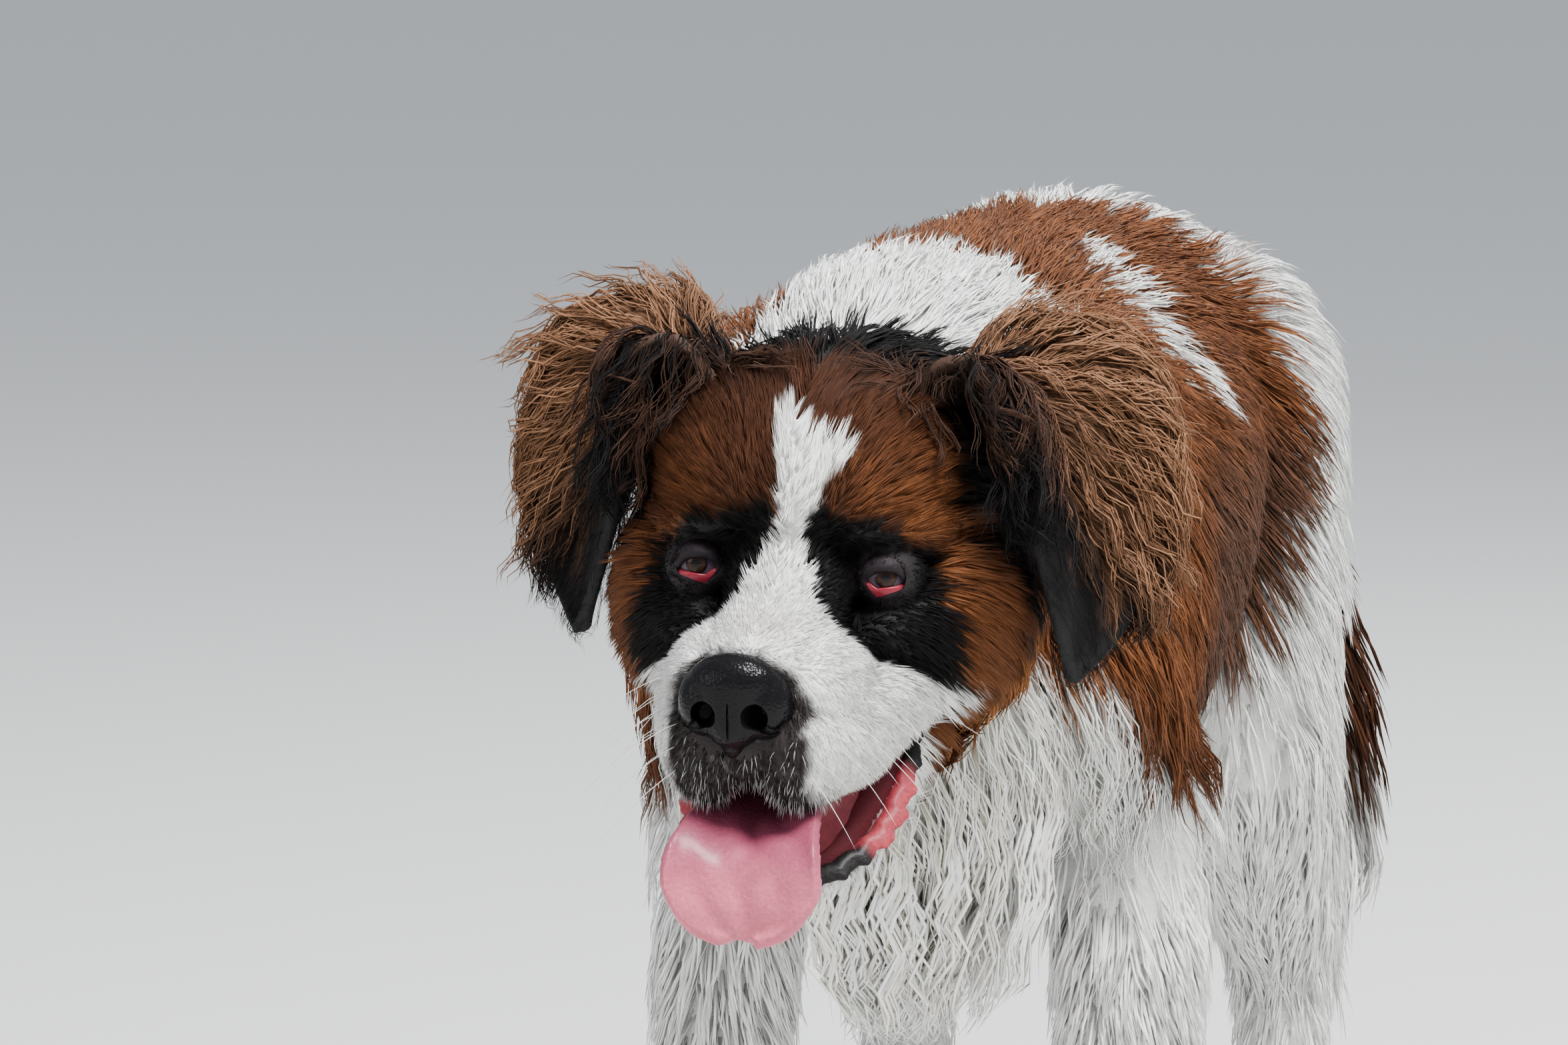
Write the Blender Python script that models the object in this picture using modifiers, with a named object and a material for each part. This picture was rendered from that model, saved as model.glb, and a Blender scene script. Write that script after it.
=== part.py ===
"""A long-haired giant mountain dog standing on all fours, head low and mouth open, life size.

Metres, +Z up. The dog faces -Y and its left side is +X. The floor is at z = 0.
The body is modelled whole from rounded masses, parted into named pieces by thin cuts,
and the long coat is laid over it in rows of flat tapered locks.
"""

import math
import random

import bmesh
import bpy
import numpy as np
from mathutils import Matrix, Vector
from mathutils.bvhtree import BVHTree

# Driving sizes, in metres
BACK_Z = 0.750
RIB_HALF_WIDTH = 0.160
HIP_HALF_WIDTH = 0.184
CHEST_BOTTOM_Z = 0.338
FORELEG_X = 0.124
FORELEG_R = 0.033
ELBOW_Z = 0.420
HINDLEG_X = 0.130
HOCK_Z = 0.205
PAW_SINK = 0.005
GAP = 0.0004
LOCK_GAP = 0.0008
EYE_R = 0.0125
EYE_X = 0.053
EYE_CUTS = 3

# The head turns with this frame, whose origin lies midway between the eyes
HEAD_AT = Vector((-0.004, -0.620, 0.606))
HEAD_YAW = math.radians(-3.0)
HEAD_PITCH = math.radians(5.2)
HEAD_ROLL = math.radians(1.4)

BODY_VOXEL = 0.0085
HEAD_VOXEL = 0.0034
BODY_FACES = 3300
HEAD_FACES = 1800
JAW_FACES = 400
EAR_FACES = 300
TONGUE_FACES = 300
SHEET_VOXEL = 0.0024

EAR_THICKNESS = 0.0095
# The head ends this far behind the eyes
HEAD_BACK = 0.128

COAT_SEED = 13
LOCK_THICKNESS = 0.009
LOCK_ROOT_DEPTH = 0.010
FLOOR_CLEARANCE = 0.030
# How far each guide of the lie reaches
LIE_REACH = 0.09
TAIL_LIE = Vector((0.12, 0.12, -1.0))

RUST = (0.30, 0.12, 0.045)
WHITE = (0.80, 0.79, 0.76)
# Each node's colour and roughness
FINISH = {
    "torso": (RUST, 0.75),
    "neck": (WHITE, 0.75),
    "head": ((0.24, 0.09, 0.035), 0.70),
    "lower_jaw": ((0.55, 0.52, 0.49), 0.70),
    "nose": ((0.02, 0.02, 0.022), 0.30),
    "tongue": ((0.72, 0.26, 0.29), 0.30),
    "eye": ((0.16, 0.07, 0.03), 0.08),
    "ear": ((0.17, 0.08, 0.045), 0.72),
    "foreleg": (WHITE, 0.75),
    "hindleg": ((0.78, 0.77, 0.74), 0.75),
    "tail": ((0.05, 0.035, 0.028), 0.75),
}


def clear_scene():
    for obj in list(bpy.data.objects):
        bpy.data.objects.remove(obj, do_unlink=True)


def head_frame():
    turn = (
        Matrix.Rotation(HEAD_YAW, 4, "Z")
        @ Matrix.Rotation(HEAD_PITCH, 4, "X")
        @ Matrix.Rotation(HEAD_ROLL, 4, "Y")
    )
    return Matrix.Translation(HEAD_AT) @ turn


def ball(x, y, z, rx, ry=None, rz=None):
    """A rounded mass: its centre and its three radii."""
    ry = rx if ry is None else ry
    return Vector((x, y, z)), (rx, ry, rx if rz is None else rz)


def mirrored(chain):
    return [(Vector((-c.x, c.y, c.z)), radii) for c, radii in chain]


def both_sides(chains):
    return chains + [mirrored(chain) for chain in chains]


def sphere_points(detail):
    bm = bmesh.new()
    bmesh.ops.create_icosphere(bm, subdivisions=detail, radius=1.0)
    points = [v.co.copy() for v in bm.verts]
    bm.free()
    return points


FINE = sphere_points(3)
MIDDLE = sphere_points(2)
COARSE = sphere_points(1)


def hull_mesh(bm, balls, sphere):
    """Adds the convex hull of a few balls to bm, as one closed skin."""
    for centre, radii in balls:
        for point in sphere:
            bm.verts.new(centre + Vector(a * b for a, b in zip(point, radii)))
    hull = bmesh.ops.convex_hull(bm, input=list(bm.verts))
    inner = [v for v in hull["geom_interior"] if isinstance(v, bmesh.types.BMVert)]
    bmesh.ops.delete(bm, geom=inner, context="VERTS")


def chain_object(name, chains, frame=None, sphere=FINE):
    """One object holding every chain: each pair of neighbouring balls is bridged by a hull."""
    mesh = bpy.data.meshes.new(name)
    whole = bmesh.new()
    for chain in chains:
        pairs = [chain] if len(chain) == 1 else [chain[i:i + 2] for i in range(len(chain) - 1)]
        for pair in pairs:
            piece = bmesh.new()
            hull_mesh(piece, pair, sphere)
            scrap = bpy.data.meshes.new("scrap")
            piece.to_mesh(scrap)
            piece.free()
            whole.from_mesh(scrap)
            bpy.data.meshes.remove(scrap)
    if frame is not None:
        whole.transform(frame)
    bmesh.ops.recalc_face_normals(whole, faces=whole.faces)
    whole.to_mesh(mesh)
    whole.free()
    return linked(name, mesh)


def linked(name, mesh):
    obj = bpy.data.objects.new(name, mesh)
    bpy.context.scene.collection.objects.link(obj)
    return obj


def applied(obj):
    """Replaces the object's mesh by what its modifiers make of it."""
    bpy.context.view_layer.update()
    graph = bpy.context.evaluated_depsgraph_get()
    mesh = bpy.data.meshes.new_from_object(obj.evaluated_get(graph))
    old = obj.data
    obj.modifiers.clear()
    obj.data = mesh
    bpy.data.meshes.remove(old)
    return obj


def triangles(obj):
    return sum(len(p.vertices) - 2 for p in obj.data.polygons)


def thinned(obj, faces):
    """Collapses the smallest facets until about that many triangles are left."""
    thin = obj.modifiers.new("thin", "DECIMATE")
    thin.ratio = min(1.0, faces / triangles(obj))
    thin.use_collapse_triangulate = True
    return applied(obj)


def fused(obj, voxel, smoothing, faces):
    """Melts the overlapping masses into one skin, smooths it and thins it to about that many triangles."""
    remesh = obj.modifiers.new("melt", "REMESH")
    remesh.mode = "VOXEL"
    remesh.voxel_size = voxel
    smooth = obj.modifiers.new("smooth", "SMOOTH")
    smooth.factor = 0.5
    smooth.iterations = smoothing
    return thinned(applied(obj), faces)


def boolean(obj, others, operation, solver="EXACT", keep=False):
    """Joins or cuts obj with the other closed meshes, which are then removed unless kept."""
    tools = bpy.data.collections.new("tools")
    bpy.context.scene.collection.children.link(tools)
    for other in others:
        for home in list(other.users_collection):
            home.objects.unlink(other)
        tools.objects.link(other)
    modifier = obj.modifiers.new(operation.lower(), "BOOLEAN")
    modifier.operation = operation
    modifier.operand_type = "COLLECTION"
    modifier.collection = tools
    modifier.solver = solver
    applied(obj)
    for other in others:
        if keep:
            bpy.context.scene.collection.objects.link(other)
        else:
            bpy.data.objects.remove(other, do_unlink=True)
    bpy.data.collections.remove(tools)
    return obj


def solid_union(name, chains, frame=None, sphere=MIDDLE):
    """The chains' hulls joined into one solid with crisp creases, for cutting."""
    hulls = []
    for chain in chains:
        pairs = [chain] if len(chain) == 1 else [chain[i:i + 2] for i in range(len(chain) - 1)]
        hulls += [chain_object(name, [pair], frame, sphere) for pair in pairs]
    if len(hulls) == 1:
        return hulls[0]
    return boolean(hulls[0], hulls[1:], "UNION", "MANIFOLD")


def copy_of(obj, name):
    return linked(name, obj.data.copy())


def swollen(obj, gap=GAP):
    """A copy whose every facet is pushed out by the gap, also along the sharp edges of thin locks."""
    grown = copy_of(obj, obj.name + "_clearance")
    bm = bmesh.new()
    bm.from_mesh(grown.data)
    moves = []
    for vert in bm.verts:
        around = [(f.normal, f.calc_area()) for f in vert.link_faces]
        weights = np.array([area for _, area in around])
        normals = np.array([normal for normal, _ in around])
        pull = normals.T @ (normals * weights[:, None]) + np.eye(3) * 1e-3 * weights.sum()
        move = np.linalg.solve(pull, normals.T @ (weights * gap))
        moves.append(Vector(move * min(1.0, 10 * gap / np.linalg.norm(move))))
    for vert, move in zip(bm.verts, moves):
        vert.co += move
    bm.to_mesh(grown.data)
    bm.free()
    return grown


def largest_shell(obj):
    """Keeps the object's largest closed surface and drops the rest."""
    bm = bmesh.new()
    bm.from_mesh(obj.data)
    left = set(bm.verts)
    shells = []
    while left:
        stack = [left.pop()]
        shell = set(stack)
        while stack:
            for edge in stack.pop().link_edges:
                for vert in edge.verts:
                    if vert in left:
                        left.remove(vert)
                        shell.add(vert)
                        stack.append(vert)
        shells.append(shell)

    def span(shell):
        points = np.array([v.co for v in shell])
        return float(np.prod(points.max(0) - points.min(0) + 1e-6))

    shells.sort(key=span)
    for shell in shells[:-1]:
        bmesh.ops.delete(bm, geom=list(shell), context="VERTS")
    bm.to_mesh(obj.data)
    bm.free()
    return obj


def clear_of(obj, neighbours):
    """Cuts obj back so that it keeps the gap to each neighbour."""
    boolean(obj, [swollen(n) for n in neighbours], "DIFFERENCE", "MANIFOLD")
    return largest_shell(obj)


def slab(name, point, normal, size, depth):
    """A block on the far side of a plane, for parting a piece off."""
    bm = bmesh.new()
    bmesh.ops.create_cube(bm, size=1.0)
    bmesh.ops.scale(bm, vec=(size, size, depth), verts=bm.verts)
    bmesh.ops.translate(bm, vec=(0, 0, depth / 2), verts=bm.verts)
    mesh = bpy.data.meshes.new(name)
    bm.to_mesh(mesh)
    bm.free()
    turn = Vector(normal).to_track_quat("Z", "Y").to_matrix().to_4x4()
    mesh.transform(Matrix.Translation(point) @ turn)
    return linked(name, mesh)


def trunk_chain():
    """The barrel of the body, from the breast to the seat."""
    mid = (BACK_Z + CHEST_BOTTOM_Z) / 2
    deep = (BACK_Z - CHEST_BOTTOM_Z) / 2
    return [
        ball(0, -0.345, mid - 0.045, 0.088, 0.060, 0.120),
        ball(0, -0.270, mid + 0.005, 0.135, 0.090, deep - 0.012),
        ball(0, -0.110, mid + 0.003, RIB_HALF_WIDTH, 0.100, deep - 0.004),
        ball(0, 0.060, mid + 0.020, RIB_HALF_WIDTH + 0.004, 0.100, deep - 0.020),
        ball(0, 0.220, mid + 0.045, RIB_HALF_WIDTH - 0.014, 0.100, deep - 0.046),
        ball(0, 0.350, mid + 0.060, HIP_HALF_WIDTH - 0.022, 0.095, deep - 0.062),
        ball(0, 0.425, mid + 0.040, 0.115, 0.065, deep - 0.075),
    ]


def neck_chain():
    return [
        ball(0, -0.240, 0.635, 0.120, 0.090, 0.118),
        ball(-0.001, -0.340, 0.620, 0.118, 0.080, 0.130),
        ball(-0.003, -0.440, 0.602, 0.112, 0.070, 0.122),
        ball(-0.003, -0.510, 0.600, 0.100, 0.060, 0.100),
    ]


def shoulder_chain():
    return [
        ball(0.100, -0.190, 0.655, 0.050, 0.070, 0.060),
        ball(0.112, -0.265, 0.520, 0.052, 0.075, 0.080),
        ball(0.116, -0.185, ELBOW_Z, 0.048, 0.062, 0.055),
    ]


def foreleg_chain(step):
    """From the elbow down to the pastern. step moves the paw forwards."""
    return [
        ball(0.120, -0.180, ELBOW_Z, 0.048, 0.058, 0.050),
        ball(FORELEG_X, -0.185 - 0.3 * step, 0.320, 0.039, 0.044, 0.050),
        ball(FORELEG_X, -0.195 - 0.7 * step, 0.170, FORELEG_R + 0.002, 0.036, 0.035),
        ball(FORELEG_X, -0.208 - step, 0.090, FORELEG_R, 0.035, 0.040),
        ball(FORELEG_X, -0.228 - step, 0.045, FORELEG_R + 0.004, 0.045, 0.030),
    ]


def thigh_chain():
    return [
        ball(HIP_HALF_WIDTH - 0.080, 0.335, 0.605, 0.080, 0.105, 0.112),
        ball(HIP_HALF_WIDTH - 0.064, 0.345, 0.470, 0.064, 0.112, 0.100),
        ball(0.120, 0.345, 0.390, 0.057, 0.088, 0.070),
    ]


def hindleg_chain(step):
    """From the stifle down to the foot. step moves the paw forwards."""
    return [
        ball(0.120, 0.345, 0.390, 0.055, 0.085, 0.070),
        ball(0.126, 0.425 - 0.4 * step, 0.295, 0.043, 0.058, 0.055),
        ball(HINDLEG_X, 0.500 - 0.8 * step, HOCK_Z, 0.030, 0.040, 0.036),
        ball(HINDLEG_X, 0.490 - step, 0.105, 0.028, 0.032, 0.040),
        ball(HINDLEG_X, 0.470 - step, 0.045, 0.034, 0.042, 0.028),
    ]


def toe_chains(x, y, size):
    """Four arched toes, the middle pair longest, and the heel pad. y is the back of the toes."""
    chains = []
    for i, across in enumerate((-0.033, -0.012, 0.012, 0.033)):
        reach = 0.050 if i in (1, 2) else 0.036
        knuckle = ball(x + across * size, y - 0.6 * reach * size, 0.032, 0.0135 * size, 0.018, 0.020)
        tip = ball(x + across * 1.1 * size, y - reach * size, 0.015, 0.0130 * size, 0.015, 0.019)
        chains.append([ball(x + 0.6 * across, y + 0.010, 0.034, 0.016, 0.022, 0.028), knuckle, tip])
    heel = ball(x, y + 0.016, 0.018, 0.027 * size, 0.022, 0.018)
    chains.append([heel, ball(x, y - 0.004, 0.018, 0.026, 0.020, 0.017)])
    return chains


def tail_chain():
    return [
        ball(0.000, 0.455, 0.650, 0.040, 0.040, 0.040),
        ball(0.045, 0.520, 0.590, 0.038, 0.036, 0.045),
        ball(0.098, 0.552, 0.490, 0.040, 0.038, 0.055),
        ball(0.128, 0.570, 0.370, 0.040, 0.038, 0.055),
        ball(0.140, 0.590, 0.265, 0.026, 0.026, 0.040),
    ]


FORE_STEPS = {"l": 0.0, "r": 0.045}
HIND_STEPS = {"l": 0.0, "r": 0.050}
SIDES = {"l": 1, "r": -1}


def sided(chain, side):
    return chain if side == "l" else mirrored(chain)


def body_object():
    chains = [trunk_chain(), neck_chain(), tail_chain()]
    for side in SIDES:
        fore = FORE_STEPS[side]
        hind = HIND_STEPS[side]
        limbs = [shoulder_chain(), foreleg_chain(fore), thigh_chain(), hindleg_chain(hind)]
        limbs += toe_chains(FORELEG_X, -0.232 - fore, 1.05)
        limbs += toe_chains(HINDLEG_X, 0.455 - hind, 0.95)
        chains += [sided(limb, side) for limb in limbs]
    body = chain_object("body", chains)
    return fused(body, BODY_VOXEL, 5, BODY_FACES)


def skull_chains():
    """The upper head, in the head's own frame: forwards is -Y."""
    middle = [
        [ball(0, 0.100, 0.030, 0.088, 0.105, 0.078)],
        [ball(0, 0.035, 0.036, 0.050, 0.055, 0.054)],
        [ball(0, 0.165, 0.004, 0.072, 0.070, 0.076)],
        [ball(0, -0.012, -0.022, 0.030, 0.030, 0.024), ball(0, -0.080, -0.036, 0.027, 0.022, 0.020)],
        [ball(0, -0.030, -0.060, 0.045, 0.040, 0.030), ball(0, -0.080, -0.066, 0.038, 0.018, 0.028)],
    ]
    side = [
        [ball(0.032, 0.044, 0.046, 0.052, 0.062, 0.052)],
        [ball(0.047, 0.004, 0.026, 0.026, 0.024, 0.016), ball(0.066, 0.030, 0.020, 0.022, 0.026, 0.020)],
        [ball(0.074, 0.070, -0.032, 0.038, 0.062, 0.060)],
        [ball(0.050, 0.006, -0.034, 0.026, 0.026, 0.022), ball(0.082, 0.060, -0.018, 0.030, 0.040, 0.034)],
        [ball(0.026, -0.045, -0.052, 0.030, 0.052, 0.034)],
        [
            ball(0.024, -0.078, -0.080, 0.029, 0.028, 0.036),
            ball(0.043, -0.030, -0.080, 0.025, 0.034, 0.034),
            ball(0.060, 0.012, -0.064, 0.020, 0.030, 0.028),
        ],
    ]
    return middle + both_sides(side)


def jaw_chains():
    middle = [
        [ball(0, 0.060, -0.105, 0.050, 0.040, 0.022), ball(0, -0.046, -0.164, 0.026, 0.022, 0.016)],
    ]
    side = [
        [
            ball(0.052, 0.085, -0.082, 0.026, 0.034, 0.032),
            ball(0.042, 0.010, -0.122, 0.019, 0.030, 0.022),
            ball(0.018, -0.048, -0.156, 0.018, 0.020, 0.020),
        ],
    ]
    return middle + both_sides(side)


def mouth_cavity():
    """The hollow under the palate, between the hanging upper lips."""
    return [
        [
            ball(0, -0.066, -0.110, 0.024, 0.026, 0.022),
            ball(0, 0.000, -0.104, 0.038, 0.040, 0.024),
            ball(0, 0.060, -0.104, 0.038, 0.036, 0.016),
        ],
    ]


def eye_centre(side):
    return Vector((side * EYE_X, 0.0015, -0.001))


def arc_tube(name, centre, turn, width, height, radius, start, end):
    """A lid: a tapered tube bent over the eye, from one corner to the other."""
    curve = bpy.data.curves.new(name, "CURVE")
    curve.dimensions = "3D"
    curve.bevel_depth = radius
    curve.bevel_resolution = 1
    curve.use_fill_caps = True
    steps = 7
    spline = curve.splines.new("POLY")
    spline.points.add(steps - 1)
    for i in range(steps):
        share = i / (steps - 1)
        angle = start + (end - start) * share
        across = math.cos(angle) * width
        up = math.sin(angle) * height
        bulge = math.sqrt(max(0.0, 1.0 - (across / (EYE_R * 1.35)) ** 2 - (up / (EYE_R * 1.9)) ** 2))
        local = Vector((across, -EYE_R * 0.92 * bulge, up))
        point = centre + turn @ local
        spline.points[i].co = (*point, 1.0)
        spline.points[i].radius = 0.45 + 0.55 * math.sin(math.pi * share)
    obj = bpy.data.objects.new(name, curve)
    bpy.context.scene.collection.objects.link(obj)
    bpy.context.view_layer.update()
    graph = bpy.context.evaluated_depsgraph_get()
    mesh = bpy.data.meshes.new_from_object(obj.evaluated_get(graph))
    bpy.data.objects.remove(obj, do_unlink=True)
    bm = bmesh.new()
    bm.from_mesh(mesh)
    bmesh.ops.remove_doubles(bm, verts=bm.verts, dist=1e-5)
    bmesh.ops.recalc_face_normals(bm, faces=bm.faces)
    bm.to_mesh(mesh)
    bm.free()
    return linked(name, mesh)


def lids(side, frame):
    """The heavy upper lid and the slack lower lid, which droops at its middle."""
    centre = eye_centre(side)
    turn = Matrix.Rotation(side * math.radians(22), 3, "Z")
    made = [
        arc_tube("upper_lid", centre, turn, 0.0150, 0.0075, 0.0052, math.radians(8), math.radians(172)),
        arc_tube("lower_lid", centre, turn, 0.0145, 0.0125, 0.0042, math.radians(188), math.radians(352)),
    ]
    for lid in made:
        lid.data.transform(frame)
    return made


def eye_object(side, letter, frame):
    """The eyeball, a cube whose cut faces are blown up to a sphere."""
    bm = bmesh.new()
    bmesh.ops.create_cube(bm, size=1.0)
    bmesh.ops.subdivide_edges(bm, edges=bm.edges, cuts=EYE_CUTS, use_grid_fill=True)
    for vert in bm.verts:
        vert.co = vert.co.normalized() * EYE_R
    bmesh.ops.triangulate(bm, faces=bm.faces)
    mesh = bpy.data.meshes.new("eye_" + letter)
    bm.to_mesh(mesh)
    bm.free()
    mesh.transform(frame @ Matrix.Translation(eye_centre(side)))
    return linked("eye_" + letter, mesh)


def head_object(frame):
    head = chain_object("head", skull_chains(), frame)
    fused(head, HEAD_VOXEL, 7, HEAD_FACES)
    boolean(head, [solid_union("cavity", mouth_cavity(), frame, COARSE)], "DIFFERENCE", "MANIFOLD")
    boolean(head, lids(1, frame) + lids(-1, frame), "UNION", "MANIFOLD")
    backwards = frame.to_3x3() @ Vector((0, 1, 0))
    beyond = slab("beyond", frame @ Vector((0, HEAD_BACK, 0)), backwards, 0.6, 0.3)
    boolean(head, [beyond], "DIFFERENCE", "MANIFOLD")
    return largest_shell(head)


def jaw_object(frame):
    jaw = chain_object("lower_jaw", jaw_chains(), frame)
    fused(jaw, HEAD_VOXEL, 5, JAW_FACES)
    return jaw


def nose_object(frame):
    """The nose leather, with comma-shaped nostrils."""
    pad = both_sides([[ball(0.016, -0.098, -0.044, 0.0165, 0.015, 0.0185)]])
    pad.append([ball(0, -0.102, -0.036, 0.020, 0.015, 0.015), ball(0, -0.100, -0.052, 0.013, 0.013, 0.014)])
    pad.append([ball(0, -0.098, -0.060, 0.006, 0.010, 0.012)])
    nose = fused(chain_object("nose", pad, frame), 0.0020, 3, 260)
    holes = both_sides([[ball(0.0150, -0.118, -0.0450, 0.0058, 0.012, 0.0062)]])
    slit = [ball(0.0165, -0.116, -0.0490, 0.0034), ball(0.0310, -0.103, -0.0520, 0.0022, 0.008, 0.0022)]
    holes += both_sides([slit])
    boolean(nose, [solid_union("nostrils", holes, frame, COARSE)], "DIFFERENCE", "MANIFOLD")
    return largest_shell(nose)


def sheet_object(name, place, frame, thickness, faces):
    """A curved sheet of even thickness. place(u, v) puts a point, u across and v along."""
    bm = bmesh.new()
    bmesh.ops.create_grid(bm, x_segments=14, y_segments=28, size=1.0)
    for vert in bm.verts:
        vert.co = frame @ place(vert.co.x, (vert.co.y + 1) / 2)
    mesh = bpy.data.meshes.new(name)
    bm.to_mesh(mesh)
    bm.free()
    obj = linked(name, mesh)
    solid = obj.modifiers.new("thickness", "SOLIDIFY")
    solid.thickness = thickness
    solid.offset = 0.0
    return fused(applied(obj), SHEET_VOXEL, 2, faces)


def along_path(points, share):
    """The point at that share of a smooth curve through the points, and the direction there."""
    count = len(points) - 1
    at = min(max(share, 0.0), 1.0) * count
    i = min(int(at), count - 1)
    t = at - i
    p1, p2 = points[i], points[i + 1]
    p0 = points[i - 1] if i > 0 else p1 * 2 - p2
    p3 = points[i + 2] if i + 2 <= count else p2 * 2 - p1
    here = 0.5 * (
        2 * p1 + (p2 - p0) * t + (2 * p0 - 5 * p1 + 4 * p2 - p3) * t * t
        + (3 * p1 - p0 - 3 * p2 + p3) * t * t * t
    )
    way = 0.5 * (
        (p2 - p0) + 2 * (2 * p0 - 5 * p1 + 4 * p2 - p3) * t
        + 3 * (3 * p1 - p0 - 3 * p2 + p3) * t * t
    )
    return here, way.normalized()


EAR_LINES = {
    "l": [
        Vector((0.066, 0.086, 0.066)),
        Vector((0.098, 0.088, 0.092)),
        Vector((0.136, 0.090, 0.070)),
        Vector((0.152, 0.088, 0.022)),
        Vector((0.153, 0.082, -0.030)),
        Vector((0.146, 0.076, -0.070)),
    ],
    "r": [
        Vector((-0.062, 0.086, 0.072)),
        Vector((-0.092, 0.088, 0.103)),
        Vector((-0.117, 0.092, 0.082)),
        Vector((-0.132, 0.092, 0.034)),
        Vector((-0.136, 0.088, -0.016)),
        Vector((-0.133, 0.082, -0.056)),
    ],
}
EAR_TURNS = {"l": math.radians(38), "r": math.radians(24)}


def ear_half_width(v):
    """Half the ear's width: a broad root, fullest above the middle, rounded at the tip."""
    full = 0.042 + 0.012 * math.sin(math.pi * min(1.0, v * 1.3))
    return full - 0.040 * max(0.0, (v - 0.60) / 0.40) ** 2.2


def ear_object(side, letter, frame):
    """The ear leather: folded over at its root and cupped, its front edge against the cheek."""
    line = EAR_LINES[letter]

    def place(u, v):
        here, way = along_path(line, v)
        turn = EAR_TURNS[letter] * min(1.0, v * 2.5)
        across = Vector((side * math.sin(turn), math.cos(turn), 0.0))
        across = (across - way * across.dot(way)).normalized()
        out = way.cross(across) * -side
        cup = 0.012 * (1 - v) + 0.008
        return here + across * u * ear_half_width(v) - out * cup * u * u

    return sheet_object("ear_" + letter, place, frame, EAR_THICKNESS, EAR_FACES)


TONGUE_LINE = [
    Vector((0.000, 0.050, -0.104)),
    Vector((0.000, 0.000, -0.116)),
    Vector((0.000, -0.048, -0.130)),
    Vector((0.001, -0.088, -0.140)),
    Vector((0.003, -0.110, -0.152)),
    Vector((0.005, -0.117, -0.170)),
    Vector((0.006, -0.116, -0.184)),
]


def tongue_half_width(v):
    """Half the tongue's width: it broadens towards its rounded tip."""
    full = 0.020 + 0.026 * math.sin(math.pi * min(0.5, 0.78 * v))
    return full - 0.030 * max(0.0, (v - 0.72) / 0.28) ** 2.4


def tongue_object(frame):
    def place(u, v):
        here, way = along_path(TONGUE_LINE, v)
        across = Vector((1.0, 0.0, 0.0))
        up = across.cross(way) * -1.0
        dish = 0.007 * u * u * (1.0 - 0.7 * v) - 0.0018 * math.exp(-((u / 0.22) ** 2))
        return here + across * u * tongue_half_width(v) + up * dish

    return sheet_object("tongue", place, frame, 0.0095, TONGUE_FACES)


def tooth_row(frame):
    """The lower teeth that the open mouth shows: a canine and cheek teeth on each side."""
    made = []
    for side in (1, -1):
        for x, y, z, wide, tall in (
            (0.019, -0.056, -0.142, 0.0052, 0.020),
            (0.036, -0.002, -0.114, 0.0052, 0.011),
        ):
            bm = bmesh.new()
            place = Matrix.Translation((side * x, y, z)) @ Matrix.Rotation(math.radians(-12), 4, "X")
            bmesh.ops.create_cone(
                bm,
                cap_ends=True,
                segments=5,
                radius1=wide,
                radius2=wide * 0.28,
                depth=tall * 1.8,
                matrix=place,
            )
            mesh = bpy.data.meshes.new("tooth")
            bm.to_mesh(mesh)
            bm.free()
            mesh.transform(frame)
            made.append(linked("tooth", mesh))
    return made


def cutter(name, chain, side):
    return solid_union(name, [sided(chain, side)], None, COARSE)


def foreleg_region():
    return [
        ball(0.150, -0.190, 0.455, 0.085, 0.105, 0.062),
        ball(0.150, -0.215, 0.300, 0.090, 0.110, 0.060),
        ball(0.150, -0.260, 0.000, 0.110, 0.160, 0.060),
    ]


def hindleg_region():
    return [
        ball(0.140, 0.350, 0.520, 0.100, 0.125, 0.110),
        ball(0.140, 0.400, 0.300, 0.100, 0.150, 0.080),
        ball(0.140, 0.430, 0.000, 0.110, 0.190, 0.060),
    ]


NECK_PLANE = (Vector((0, -0.318, 0.60)), Vector((0, -0.97, 0.24)))
TAIL_PLANE = (Vector((0.020, 0.492, 0.625)), Vector((0.42, 0.80, -0.42)))


def parted(body):
    """Cuts the whole body into its named pieces."""
    pieces = {}
    floor = slab("floor", Vector((0, 0, PAW_SINK)), Vector((0, 0, -1)), 3.0, 0.3)
    boolean(body, [floor], "DIFFERENCE")
    for side in SIDES:
        for name, region in (("foreleg_", foreleg_region()), ("hindleg_", hindleg_region())):
            leg = copy_of(body, name + side)
            boolean(leg, [cutter("region", region, side)], "INTERSECT", "MANIFOLD")
            pieces[name + side] = largest_shell(leg)
            grown = [(c, tuple(r + GAP for r in radii)) for c, radii in region]
            boolean(body, [cutter("region", grown, side)], "DIFFERENCE", "MANIFOLD")
    for name, (point, normal), size in (("neck", NECK_PLANE, 0.9), ("tail", TAIL_PLANE, 0.42)):
        end = copy_of(body, name)
        boolean(end, [slab("side", point, normal, size, 0.6)], "INTERSECT")
        pieces[name] = largest_shell(end)
        near = point - normal.normalized() * GAP
        boolean(body, [slab("side", near, normal, size, 0.6)], "DIFFERENCE")
    body.name = "torso"
    pieces["torso"] = largest_shell(body)
    return pieces


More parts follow.
